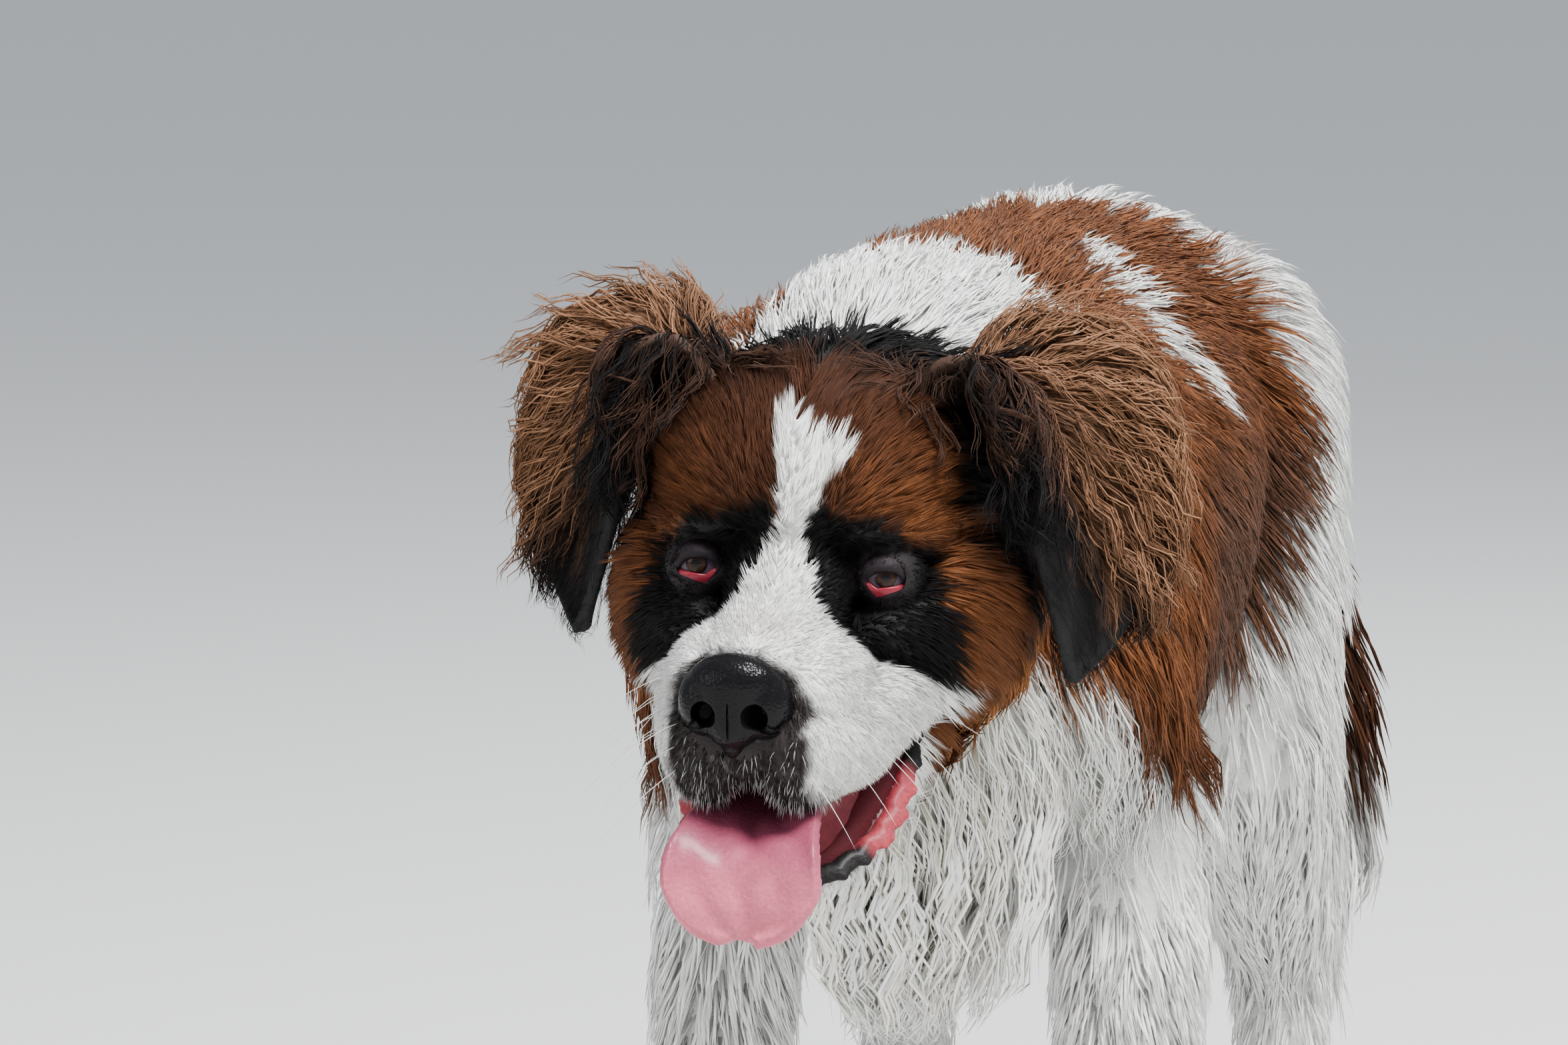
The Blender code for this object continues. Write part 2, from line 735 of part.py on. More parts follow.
# Which way the coat lies: a point of the left side and the direction of the hair there
LIE = [
    ((0.00, -0.42, 0.73), (0.05, 1.0, 0.10)),
    ((0.11, -0.40, 0.61), (0.15, 0.80, -0.50)),
    ((0.00, -0.46, 0.47), (0.10, 0.30, -1.0)),
    ((0.00, -0.42, 0.42), (0.05, 0.15, -1.0)),
    ((0.09, -0.36, 0.50), (0.25, 0.25, -1.0)),
    ((0.15, -0.22, 0.58), (0.05, 0.55, -0.85)),
    ((0.00, -0.20, 0.76), (0.05, 1.0, -0.10)),
    ((0.00, 0.10, 0.76), (0.10, 1.0, -0.05)),
    ((0.00, 0.38, 0.74), (0.10, 1.0, -0.40)),
    ((0.00, 0.48, 0.60), (0.05, 0.20, -1.0)),
    ((0.17, -0.05, 0.55), (0.00, 0.65, -0.65)),
    ((0.16, 0.15, 0.55), (0.00, 0.65, -0.70)),
    ((0.12, 0.00, 0.39), (-0.10, 0.55, -0.85)),
    ((0.00, 0.00, 0.34), (0.00, 0.65, -0.80)),
    ((0.00, 0.22, 0.44), (0.00, 0.65, -0.75)),
    ((0.18, 0.35, 0.50), (0.00, 0.30, -1.0)),
    ((0.13, 0.46, 0.42), (0.05, 0.40, -0.95)),
    ((0.13, 0.46, 0.28), (0.00, 0.45, -0.90)),
    ((0.12, 0.54, 0.20), (0.00, 0.25, -1.0)),
    ((0.12, 0.50, 0.10), (0.00, 0.10, -1.0)),
    ((0.14, -0.14, 0.42), (0.10, 0.60, -0.80)),
    ((0.125, -0.14, 0.28), (0.00, 0.45, -0.90)),
    ((0.125, -0.19, 0.14), (0.00, 0.10, -1.0)),
]


def coat_lie(point):
    side = 1.0 if point.x >= 0 else -1.0
    here = Vector((abs(point.x), point.y, point.z))
    total = Vector()
    for at, way in LIE:
        weight = math.exp(-(here - Vector(at)).length_squared / (2 * LIE_REACH**2))
        total += Vector(way).normalized() * weight
    return Vector((total.x * side, total.y, total.z)).normalized()


class Skin:
    """A surface that locks can be laid over."""

    def __init__(self, objects):
        bm = bmesh.new()
        for obj in objects:
            bm.from_mesh(obj.data)
        self.tree = BVHTree.FromBMesh(bm)
        bm.free()

    def nearest(self, point):
        where, normal, _, _ = self.tree.find_nearest(point)
        return where, normal


def add_lock(verts, faces, skin, root, lie, size, rng):
    """One flat lock: it rises out of the skin, follows the lie and tapers to a raised tip."""
    length, width, thick, lift, depth = size
    shares = (0.0, 0.34, 0.72, 1.0)
    spread = (0.62, 1.0, 0.74, 0.0)
    sway = rng.uniform(-0.22, 0.22) * width
    start = len(verts)
    point, normal = skin.nearest(root)
    way = lie(point)
    for i, share in enumerate(shares):
        if i:
            step = (shares[i] - shares[i - 1]) * length
            ahead = point + way * step
            near, fresh = skin.nearest(ahead)
            if (near - point).dot(way) > 0.6 * step:
                point = near
                normal = (normal + fresh * 1.5).normalized()
            else:
                point = ahead
        flat = lie(point)
        flat = flat - normal * flat.dot(normal)
        way = (way - normal * way.dot(normal) + flat * 1.2).normalized()
        side = way.cross(normal).normalized()
        height = -depth + (lift + depth) * share**0.75
        centre = point + normal * height + side * sway * math.sin(math.pi * 1.6 * share)
        half = side * width * 0.5 * spread[i]
        if i == len(shares) - 1:
            verts.append(centre)
        else:
            verts += [centre - half, centre + half, centre + normal * thick * (1.0 - 0.45 * share)]
    faces.append((start, start + 1, start + 2))
    for i in range(len(shares) - 2):
        a = start + 3 * i
        for j in range(3):
            k = (j + 1) % 3
            faces.append((a + j, a + 3 + j, a + 3 + k, a + k))
    a = start + 3 * (len(shares) - 2)
    tip = a + 3
    for j in range(3):
        faces.append((a + j, tip, a + (j + 1) % 3))


def lock_object(name, skin, root, lie, size, rng):
    verts, faces = [], []
    add_lock(verts, faces, skin, root, lie, size, rng)
    mesh = bpy.data.meshes.new(name)
    mesh.from_pydata([tuple(v) for v in verts], [], faces)
    bm = bmesh.new()
    bm.from_mesh(mesh)
    bmesh.ops.triangulate(bm, faces=bm.faces)
    bmesh.ops.recalc_face_normals(bm, faces=bm.faces)
    bm.to_mesh(mesh)
    bm.free()
    return linked(name, mesh)


def scattered_roots(obj, wanted, spacing, rng):
    """Points of the object's surface where wanted(point, normal) holds, none nearer than the spacing."""
    mesh = obj.data
    spots = []
    for poly in sorted(mesh.polygons, key=lambda face: tuple(face.center)):
        corners = sorted((mesh.vertices[i].co for i in poly.vertices), key=tuple)
        share = poly.area / (spacing * spacing) * 14
        for _ in range(int(share) + (rng.random() < share % 1.0)):
            a, b = sorted((rng.random(), rng.random()))
            spot = corners[0] * a + corners[1] * (b - a) + corners[2] * (1 - b)
            if wanted(spot, poly.normal):
                spots.append(spot)
    rng.shuffle(spots)
    kept = []
    for spot in spots:
        if all((spot - other).length > spacing for other in kept):
            kept.append(spot)
    return kept


# Each patch of coat: the node, where its roots are, their spacing, the locks' length, width and lift
COAT = [
    ("neck", lambda p, n: p.z > 0.60, 0.092, 0.140, 0.084, 0.030),
    ("neck", lambda p, n: p.z <= 0.60, 0.086, 0.140, 0.074, 0.034),
    ("torso", lambda p, n: p.z > 0.73 and abs(p.x) < 0.035, 0.120, 0.150, 0.080, 0.030),
    ("torso", lambda p, n: p.z > 0.68 and p.y < -0.04 and abs(p.x) > 0.05, 0.110, 0.150, 0.086, 0.032),
    ("torso", lambda p, n: p.z > 0.68 and p.y >= -0.04 and abs(p.x) > 0.05, 0.128, 0.160, 0.094, 0.028),
    ("torso", lambda p, n: 0.46 < p.z <= 0.68 and p.y > -0.30, 0.150, 0.170, 0.105, 0.026),
    ("torso", lambda p, n: p.z <= 0.52 and p.y < -0.28, 0.088, 0.160, 0.074, 0.036),
    ("torso", lambda p, n: p.z <= 0.44 and p.y > -0.20 and n.z < -0.2, 0.112, 0.140, 0.086, 0.026),
    ("hindleg", lambda p, n: 0.34 < p.z < 0.56 and p.y < 0.42, 0.130, 0.140, 0.094, 0.026),
    ("hindleg", lambda p, n: 0.12 < p.z < 0.50 and p.y >= 0.42 and n.y > 0.2, 0.084, 0.125, 0.064, 0.034),
    ("foreleg", lambda p, n: 0.14 < p.z < 0.38 and n.y > 0.2, 0.080, 0.110, 0.054, 0.026),
    ("tail", lambda p, n: 0.30 < p.z < 0.60, 0.098, 0.165, 0.074, 0.034),
]


def along_tail(point):
    return TAIL_LIE.normalized()


def grown_locks(obj, skin, wanted, spacing, shape, lie, depth, rng):
    """The locks of one patch. shape is their length, width, thickness and lift."""
    length, width, thick, lift = shape
    made = []
    for root in scattered_roots(obj, wanted, spacing, rng):
        vary = rng.uniform(0.85, 1.2)
        size = (length * vary, width * rng.uniform(0.85, 1.1), thick, lift * vary, depth)
        lock = lock_object("lock", skin, root, lie, size, rng)
        if min(v.co.z for v in lock.data.vertices) < FLOOR_CLEARANCE:
            bpy.data.objects.remove(lock, do_unlink=True)
        else:
            made.append(lock)
    return made


def head_locks(head, frame, rng):
    """The longer hair behind the cheeks and on the back of the skull."""
    inward = frame.inverted()

    def wanted(point, normal):
        local = inward @ point
        return local.y > 0.055 and normal.dot(frame.to_3x3() @ Vector((0, 1, 0))) < 0.8

    def lie(point):
        local = inward @ point
        side = 1.0 if local.x > 0 else -1.0
        low = min(1.0, max(0.0, 0.5 - local.z * 8))
        return frame.to_3x3() @ Vector((side * 0.25, 1.0 - 0.4 * low, -0.9 * low)).normalized()

    shape = (0.070, 0.046, 0.007, 0.018)
    return grown_locks(head, Skin([head]), wanted, 0.066, shape, lie, 0.008, rng)


def ear_locks(ear, side, frame, rng):
    """The wavy fringe on the outside and the edges of the ear."""
    outward = frame.to_3x3() @ Vector((side * 0.8, -0.45, 0.3))
    fall = frame.to_3x3() @ Vector((side * 0.10, 0.38, -1.0)).normalized()
    shape = (0.072, 0.042, 0.006, 0.016)

    def wanted(point, normal):
        return normal.dot(outward) > 0.25

    return grown_locks(ear, Skin([ear]), wanted, 0.046, shape, lambda point: fall, 0.003, rng)


def tree_of(obj):
    bm = bmesh.new()
    bm.from_mesh(obj.data)
    tree = BVHTree.FromBMesh(bm)
    bm.free()
    return tree


def trimmed(lock, neighbours):
    """Cuts a lock back where it would run into a neighbouring piece."""
    for other in neighbours:
        if tree_of(lock).overlap(tree_of(other)):
            boolean(lock, [other], "DIFFERENCE", "MANIFOLD", keep=True)


def coated(pieces, whole, frame):
    """Lays the locks over their nodes, trims them clear of the neighbours and joins them on."""
    rng = random.Random(COAT_SEED)
    skin = Skin([whole])
    locks = {name: [] for name in pieces}
    for node, wanted, spacing, length, width, lift in COAT:
        shape = (length, width, LOCK_THICKNESS, lift)
        for name, obj in pieces.items():
            if not name.startswith(node):
                continue
            lie = along_tail if node == "tail" else coat_lie
            base = Skin([obj]) if node == "tail" else skin
            locks[name] += grown_locks(obj, base, wanted, spacing, shape, lie, LOCK_ROOT_DEPTH, rng)
    locks["head"] += head_locks(pieces["head"], frame, rng)
    for name, side in SIDES.items():
        locks["ear_" + name] += ear_locks(pieces["ear_" + name], side, frame, rng)
    order = ["eye_l", "eye_r", "nose", "tongue", "head", "lower_jaw", "ear_l", "ear_r", "neck", "torso"]
    order += ["foreleg_l", "foreleg_r", "hindleg_l", "hindleg_r", "tail"]
    grown = {name: swollen(pieces[name], LOCK_GAP) for name in order}
    for name in order:
        if not locks[name]:
            continue
        for lock in locks[name]:
            trimmed(lock, [grown[other] for other in order if other != name])
        boolean(pieces[name], locks[name], "UNION", "MANIFOLD")
        largest_shell(pieces[name])
        bpy.data.objects.remove(grown[name], do_unlink=True)
        grown[name] = swollen(pieces[name], LOCK_GAP)
    for cutter_object in grown.values():
        bpy.data.objects.remove(cutter_object, do_unlink=True)


def coloured(name, obj):
    """Gives the node its own material."""
    kind = name if name in FINISH else name[:-2]
    colour, roughness = FINISH[kind]
    made = bpy.data.materials.new(name + "_surface")
    made.use_nodes = True
    shader = made.node_tree.nodes["Principled BSDF"]
    shader.inputs["Base Color"].default_value = (*colour, 1.0)
    shader.inputs["Roughness"].default_value = roughness
    shader.inputs["Metallic"].default_value = 0.0
    obj.data.materials.clear()
    obj.data.materials.append(made)


def settled(pieces):
    """Moves all the pieces so that the origin is on the floor under the middle of the outline."""
    points = np.array([v.co for obj in pieces.values() for v in obj.data.vertices])
    low, high = points.min(0), points.max(0)
    shift = Matrix.Translation((-(low[0] + high[0]) / 2, -(low[1] + high[1]) / 2, -low[2]))
    for obj in pieces.values():
        obj.data.transform(shift)


def main():
    clear_scene()
    frame = head_frame()
    whole = body_object()
    pieces = parted(copy_of(whole, "body_to_part"))
    head = head_object(frame)
    pieces["head"] = head
    for side, sign in SIDES.items():
        eye = eye_object(sign, side, frame)
        clear_of(head, [eye])
        pieces["eye_" + side] = eye
    pieces["lower_jaw"] = jaw_object(frame)
    boolean(pieces["lower_jaw"], tooth_row(frame), "UNION", "MANIFOLD")
    pieces["tongue"] = clear_of(tongue_object(frame), [head])
    clear_of(pieces["lower_jaw"], [head, pieces["tongue"]])
    pieces["nose"] = clear_of(nose_object(frame), [head])
    ahead = frame @ Vector((0, HEAD_BACK + GAP, 0))
    front = slab("front", ahead, frame.to_3x3() @ Vector((0, -1, 0)), 0.9, 0.5)
    largest_shell(boolean(pieces["neck"], [front], "DIFFERENCE", "MANIFOLD"))
    for side, sign in SIDES.items():
        pieces["ear_" + side] = clear_of(ear_object(sign, side, frame), [head, pieces["neck"]])
    coated(pieces, whole, frame)
    bpy.data.objects.remove(whole, do_unlink=True)
    settled(pieces)
    home = bpy.data.collections.new("saint_bernard")
    bpy.context.scene.collection.children.link(home)
    for name, obj in pieces.items():
        bpy.context.scene.collection.objects.unlink(obj)
        home.objects.link(obj)
        obj.name = name
        obj.data.name = name
        coloured(name, obj)


main()
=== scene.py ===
"""The looks of a long-haired giant mountain dog that stands with its head low and its mouth open.

Metres, +Z up. The dog faces -Y and its left side is +X. Places are written as in the part's own
layout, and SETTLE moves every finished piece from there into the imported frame.
The skin is one mesh, shaped from rounded masses. The coat is laid over it as solid tufts that
follow the lie of the hair, and the skin and the coat take their colours from the same markings.
"""

import math

import bpy
import numpy as np
from mathutils import Matrix, Vector
from mathutils.bvhtree import BVHTree
from mathutils.kdtree import KDTree


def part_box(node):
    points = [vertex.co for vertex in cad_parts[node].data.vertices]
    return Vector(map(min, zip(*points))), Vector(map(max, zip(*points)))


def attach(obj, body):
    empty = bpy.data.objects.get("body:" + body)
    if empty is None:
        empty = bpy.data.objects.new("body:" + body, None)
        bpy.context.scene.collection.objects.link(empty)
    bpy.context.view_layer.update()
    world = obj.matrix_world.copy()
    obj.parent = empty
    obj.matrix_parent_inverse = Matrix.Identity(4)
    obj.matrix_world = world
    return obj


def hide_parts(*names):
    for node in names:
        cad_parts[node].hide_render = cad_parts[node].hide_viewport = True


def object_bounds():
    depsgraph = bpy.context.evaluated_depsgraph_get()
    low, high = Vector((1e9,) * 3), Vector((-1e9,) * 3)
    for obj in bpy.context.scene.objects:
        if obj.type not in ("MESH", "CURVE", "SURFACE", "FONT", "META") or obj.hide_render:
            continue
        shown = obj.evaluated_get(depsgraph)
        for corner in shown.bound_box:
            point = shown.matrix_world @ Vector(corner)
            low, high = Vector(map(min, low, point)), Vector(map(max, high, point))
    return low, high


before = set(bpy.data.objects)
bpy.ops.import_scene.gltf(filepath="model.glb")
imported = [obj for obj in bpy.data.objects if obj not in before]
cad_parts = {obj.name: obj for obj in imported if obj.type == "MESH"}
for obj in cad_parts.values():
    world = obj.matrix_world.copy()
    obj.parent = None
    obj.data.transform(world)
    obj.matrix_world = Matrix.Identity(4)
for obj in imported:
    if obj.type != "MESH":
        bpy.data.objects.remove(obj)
CAD_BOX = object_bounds()

# Driving sizes, as in the solids
BACK_Z = 0.750
RIB_HALF_WIDTH = 0.160
HIP_HALF_WIDTH = 0.184
CHEST_BOTTOM_Z = 0.338
FORELEG_X = 0.124
FORELEG_R = 0.033
ELBOW_Z = 0.420
HINDLEG_X = 0.130
HOCK_Z = 0.205
PAW_SINK = 0.005
FORE_STEPS = {1: 0.0, -1: 0.045}
HIND_STEPS = {1: 0.0, -1: 0.050}
EYE_X = 0.053

# The head turns with this frame, whose origin lies midway between the eyes
HEAD_AT = Vector((-0.004, -0.620, 0.606))
HEAD_YAW = math.radians(-3.0)
HEAD_PITCH = math.radians(5.2)
HEAD_ROLL = math.radians(1.4)

# The skin lies this deep under the solids' cores
BODY_DEPTH = 0.008
HEAD_DEPTH = 0.0025
FOOT_DEPTH = 0.002
BODY_VOXEL = 0.0055
HEAD_VOXEL = 0.0019
SKIN_SHARE = 0.50


def head_frame():
    turn = (
        Matrix.Rotation(HEAD_YAW, 4, "Z")
        @ Matrix.Rotation(HEAD_PITCH, 4, "X")
        @ Matrix.Rotation(HEAD_ROLL, 4, "Y")
    )
    return Matrix.Translation(HEAD_AT) @ turn


SOLID_HEAD = head_frame()
HEAD_SHIFT = Vector((0.006, 0.0, 0.0))
HEAD = SOLID_HEAD @ Matrix.Translation(HEAD_SHIFT)
HEAD_BACK = np.array(HEAD.inverted())
HEAD_TURN = np.array(HEAD.to_3x3()).T


def eye_centre(side):
    return Vector((side * EYE_X, 0.0015, -0.001))


def box_centre(node):
    low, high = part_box(node)
    return (low + high) / 2


SETTLE = (box_centre("eye_l") + box_centre("eye_r")) / 2 - SOLID_HEAD @ ((eye_centre(1) + eye_centre(-1)) / 2)


def deselect():
    bpy.ops.object.select_all(action="DESELECT")


def chosen(obj):
    """Makes obj the only selected and the active object."""
    deselect()
    obj.select_set(True)
    bpy.context.view_layer.objects.active = obj
    return obj


def apply_all(obj):
    chosen(obj)
    for modifier in list(obj.modifiers):
        bpy.ops.object.modifier_apply(modifier=modifier.name)
    return obj


def joined(objects, name):
    deselect()
    for obj in objects:
        obj.select_set(True)
    bpy.context.view_layer.objects.active = objects[0]
    if len(objects) > 1:
        bpy.ops.object.join()
    objects[0].name = name
    return objects[0]


def ball(x, y, z, rx, ry=None, rz=None):
    """A rounded mass: its centre and its three radii."""
    return Vector((x, y, z)), (rx, rx if ry is None else ry, rx if rz is None else rz)


def mirrored(chain):
    return [(Vector((-c.x, c.y, c.z)), radii) for c, radii in chain]


def both_sides(chains):
    return chains + [mirrored(chain) for chain in chains]


def stretched(balls, depth, detail=4):
    """One closed skin stretched over one or two rounded masses, as its own object."""
    bpy.ops.mesh.primitive_ico_sphere_add(subdivisions=1, radius=0.001)
    obj = bpy.context.active_object
    bpy.ops.object.mode_set(mode="EDIT")
    bpy.ops.mesh.delete(type="VERT")
    for centre, radii in balls:
        bpy.ops.mesh.primitive_ico_sphere_add(
            subdivisions=detail, radius=1.0, location=centre, scale=[r - depth for r in radii]
        )
    bpy.ops.mesh.select_all(action="SELECT")
    bpy.ops.mesh.convex_hull()
    bpy.ops.object.mode_set(mode="OBJECT")
    return obj


def massed(chains, depth, name, place=None, detail=4):
    """All the chains' hulls in one object, each pair of neighbouring balls bridged."""
    hulls = []
    for chain in chains:
        pairs = [chain] if len(chain) == 1 else [chain[i:i + 2] for i in range(len(chain) - 1)]
        hulls += [stretched(pair, depth, detail) for pair in pairs]
    whole = joined(hulls, name)
    if place is not None:
        whole.data.transform(place)
    return whole


def melted(obj, voxel, smoothing):
    """Melts overlapping masses into one closed skin and smooths it."""
    remesh = obj.modifiers.new("melt", "REMESH")
    remesh.mode = "VOXEL"
    remesh.voxel_size = voxel
    smooth = obj.modifiers.new("smooth", "SMOOTH")
    smooth.factor = 0.5
    smooth.iterations = smoothing
    return apply_all(obj)


def cut_or_joined(obj, other, operation):
    """Joins or cuts obj with another closed mesh, which is then removed."""
    change = obj.modifiers.new(operation.lower(), "BOOLEAN")
    change.operation = operation
    change.object = other
    change.solver = "MANIFOLD"
    apply_all(obj)
    bpy.data.objects.remove(other, do_unlink=True)
    return obj


def sided(chain, side):
    return chain if side == 1 else mirrored(chain)


def lettered(name, side):
    return name + ("_l" if side == 1 else "_r")


def smoothed(obj, name):
    """Shades a finished piece smooth and names it."""
    obj.data.polygons.foreach_set("use_smooth", [True] * len(obj.data.polygons))
    obj.name = name
    return obj


def thickened(obj, thickness, offset=0.0):
    solid = obj.modifiers.new("thickness", "SOLIDIFY")
    solid.thickness = thickness
    solid.offset = offset
    return apply_all(obj)


def head_grid(across, along, place):
    """A grid bent over the head. place(u, v) puts a point: u from -1 to 1 across and v from 0 to 1 along."""
    bpy.ops.mesh.primitive_grid_add(x_subdivisions=across, y_subdivisions=along, size=2)
    obj = chosen(bpy.context.active_object)
    for vert in obj.data.vertices:
        vert.co = HEAD @ place(vert.co.x, (vert.co.y + 1) / 2)
    return obj


def line_through(*points):
    return [Vector(point) for point in points]


def trunk_chain():
    """The barrel of the body, from the breast to the seat."""
    mid = (BACK_Z + CHEST_BOTTOM_Z) / 2
    deep = (BACK_Z - CHEST_BOTTOM_Z) / 2
    return [
        ball(0, -0.345, mid - 0.045, 0.088, 0.060, 0.120),
        ball(0, -0.270, mid + 0.005, 0.135, 0.090, deep - 0.012),
        ball(0, -0.110, mid + 0.003, RIB_HALF_WIDTH, 0.100, deep - 0.004),
        ball(0, 0.060, mid + 0.020, RIB_HALF_WIDTH + 0.004, 0.100, deep - 0.020),
        ball(0, 0.220, mid + 0.045, RIB_HALF_WIDTH - 0.014, 0.100, deep - 0.046),
        ball(0, 0.350, mid + 0.060, HIP_HALF_WIDTH - 0.022, 0.095, deep - 0.062),
        ball(0, 0.425, mid + 0.040, 0.115, 0.065, deep - 0.075),
    ]


def neck_chain():
    return [
        ball(0, -0.240, 0.635, 0.120, 0.090, 0.118),
        ball(-0.001, -0.340, 0.620, 0.118, 0.080, 0.130),
        ball(-0.003, -0.440, 0.602, 0.112, 0.070, 0.122),
        ball(-0.003, -0.510, 0.600, 0.100, 0.060, 0.100),
    ]


def shoulder_chain():
    return [
        ball(0.100, -0.190, 0.655, 0.050, 0.070, 0.060),
        ball(0.112, -0.265, 0.520, 0.052, 0.075, 0.080),
        ball(0.116, -0.185, ELBOW_Z, 0.048, 0.062, 0.055),
    ]


def foreleg_chain(step):
    """From the elbow down to the pastern. step moves the paw forwards."""
    return [
        ball(0.120, -0.180, ELBOW_Z, 0.048, 0.058, 0.050),
        ball(FORELEG_X, -0.185 - 0.3 * step, 0.320, 0.039, 0.044, 0.050),
        ball(FORELEG_X, -0.195 - 0.7 * step, 0.170, FORELEG_R + 0.002, 0.036, 0.035),
        ball(FORELEG_X, -0.208 - step, 0.090, FORELEG_R, 0.035, 0.040),
        ball(FORELEG_X, -0.228 - step, 0.045, FORELEG_R + 0.004, 0.045, 0.030),
    ]


def thigh_chain():
    return [
        ball(HIP_HALF_WIDTH - 0.080, 0.335, 0.605, 0.080, 0.105, 0.112),
        ball(HIP_HALF_WIDTH - 0.064, 0.345, 0.470, 0.064, 0.112, 0.100),
        ball(0.120, 0.345, 0.390, 0.057, 0.088, 0.070),
    ]


def hindleg_chain(step):
    """From the stifle down to the foot. step moves the paw forwards."""
    return [
        ball(0.120, 0.345, 0.390, 0.055, 0.085, 0.070),
        ball(0.126, 0.425 - 0.4 * step, 0.295, 0.043, 0.058, 0.055),
        ball(HINDLEG_X, 0.500 - 0.8 * step, HOCK_Z, 0.030, 0.040, 0.036),
        ball(HINDLEG_X, 0.490 - step, 0.105, 0.028, 0.032, 0.040),
        ball(HINDLEG_X, 0.470 - step, 0.045, 0.034, 0.042, 0.028),
    ]


# Each toe's place across its foot, and how far it reaches forwards
TOES = [(-0.033, 0.036), (-0.012, 0.050), (0.012, 0.050), (0.033, 0.036)]
TOE_SPREAD = 1.1


def feet_of(side):
    """The fore and the hind foot of one side: its place across, the back of its toes and its size."""
    return (FORELEG_X, -0.232 - FORE_STEPS[side], 1.05), (HINDLEG_X, 0.455 - HIND_STEPS[side], 0.95)


def toe_chains(x, y, size):
    """Four arched toes, the middle pair longest, and the heel pad. y is the back of the toes."""
    chains = []
    for across, reach in TOES:
        root = ball(x + 0.6 * across, y + 0.010, 0.034, 0.016, 0.022, 0.028)
        knuckle = ball(x + across * size, y - 0.6 * reach * size, 0.032, 0.0135 * size, 0.018, 0.020)
        tip = ball(x + across * TOE_SPREAD * size, y - reach * size, 0.015, 0.0130 * size, 0.015, 0.019)
        chains.append([root, knuckle, tip])
    heel = ball(x, y + 0.016, 0.018, 0.027 * size, 0.022, 0.018)
    chains.append([heel, ball(x, y - 0.004, 0.018, 0.026, 0.020, 0.017)])
    return chains


def tail_chain():
    return [
        ball(0.000, 0.455, 0.650, 0.040, 0.040, 0.040),
        ball(0.045, 0.520, 0.590, 0.038, 0.036, 0.045),
        ball(0.098, 0.552, 0.490, 0.040, 0.038, 0.055),
        ball(0.128, 0.570, 0.370, 0.040, 0.038, 0.055),
        ball(0.140, 0.590, 0.265, 0.026, 0.026, 0.040),
    ]


def body_skin():
    """Trunk, neck, tail and legs. The feet lie nearer their solids' surface than the rest."""
    trunk = massed([trunk_chain(), neck_chain(), tail_chain()], BODY_DEPTH, "trunk")
    limbs, feet = [], []
    for side in (1, -1):
        limbs += [sided(chain, side) for chain in (shoulder_chain(), thigh_chain())]
        feet += [sided(foreleg_chain(FORE_STEPS[side]), side), sided(hindleg_chain(HIND_STEPS[side]), side)]
        for foot in feet_of(side):
            feet += [sided(chain, side) for chain in toe_chains(*foot)]
    limbs = massed(limbs, BODY_DEPTH, "limbs")
    feet = massed(feet, FOOT_DEPTH, "feet", detail=3)
    body = melted(joined([trunk, limbs, feet], "body"), BODY_VOXEL, 4)
    chosen(body)
    bpy.ops.object.mode_set(mode="EDIT")
    bpy.ops.mesh.select_all(action="SELECT")
    ground = (0, 0, PAW_SINK + 0.0005)
    bpy.ops.mesh.bisect(plane_co=ground, plane_no=(0, 0, -1), clear_outer=True, use_fill=True)
    bpy.ops.object.mode_set(mode="OBJECT")
    return body


def skull_chains():
    """The upper head, in the head's own frame: forwards is -Y."""
    middle = [
        [ball(0, 0.100, 0.030, 0.088, 0.105, 0.078)],
        [ball(0, 0.035, 0.036, 0.050, 0.055, 0.054)],
        [ball(0, 0.165, 0.004, 0.072, 0.070, 0.076)],
        [ball(0, 0.014, 0.002, 0.040, 0.034, 0.034), ball(0, -0.012, -0.022, 0.036, 0.034, 0.026)],
        [ball(0, -0.012, -0.022, 0.036, 0.034, 0.026), ball(0, -0.078, -0.036, 0.031, 0.024, 0.021)],
        [ball(0, -0.030, -0.060, 0.048, 0.042, 0.032), ball(0, -0.078, -0.066, 0.042, 0.020, 0.030)],
        [ball(0, -0.090, -0.078, 0.020, 0.016, 0.021)],
    ]
    side = [
        [ball(0.032, 0.044, 0.046, 0.052, 0.062, 0.052)],
        [ball(0.044, 0.006, 0.026, 0.024, 0.022, 0.013), ball(0.066, 0.028, 0.022, 0.020, 0.024, 0.018)],
        [ball(0.053, 0.0085, -0.001, 0.0225, 0.0215, 0.0215)],
        [ball(0.074, 0.070, -0.032, 0.038, 0.062, 0.060)],
        [ball(0.052, 0.012, -0.034, 0.026, 0.028, 0.022), ball(0.082, 0.060, -0.018, 0.030, 0.040, 0.034)],
        [ball(0.028, -0.045, -0.052, 0.030, 0.052, 0.034)],
        [
            ball(0.025, -0.080, -0.080, 0.028, 0.026, 0.034),
            ball(0.044, -0.030, -0.080, 0.024, 0.034, 0.033),
            ball(0.060, 0.018, -0.066, 0.020, 0.030, 0.026),
        ],
    ]
    return middle + both_sides(side)


def jaw_chains():
    middle = [ball(0, 0.060, -0.105, 0.050, 0.040, 0.022), ball(0, -0.046, -0.164, 0.026, 0.022, 0.016)]
    side = [
        ball(0.052, 0.085, -0.082, 0.026, 0.034, 0.032),
        ball(0.046, 0.012, -0.122, 0.018, 0.028, 0.022),
        ball(0.034, -0.026, -0.150, 0.016, 0.022, 0.018),
        ball(0.014, -0.050, -0.163, 0.016, 0.016, 0.014),
    ]
    return [middle] + both_sides([side])


def mouth_chains():
    """The hollow under the palate, between the hanging upper lips."""
    return [[
        ball(0, -0.066, -0.110, 0.024, 0.026, 0.022),
        ball(0, 0.000, -0.104, 0.038, 0.040, 0.024),
        ball(0, 0.060, -0.104, 0.038, 0.036, 0.016),
    ]]


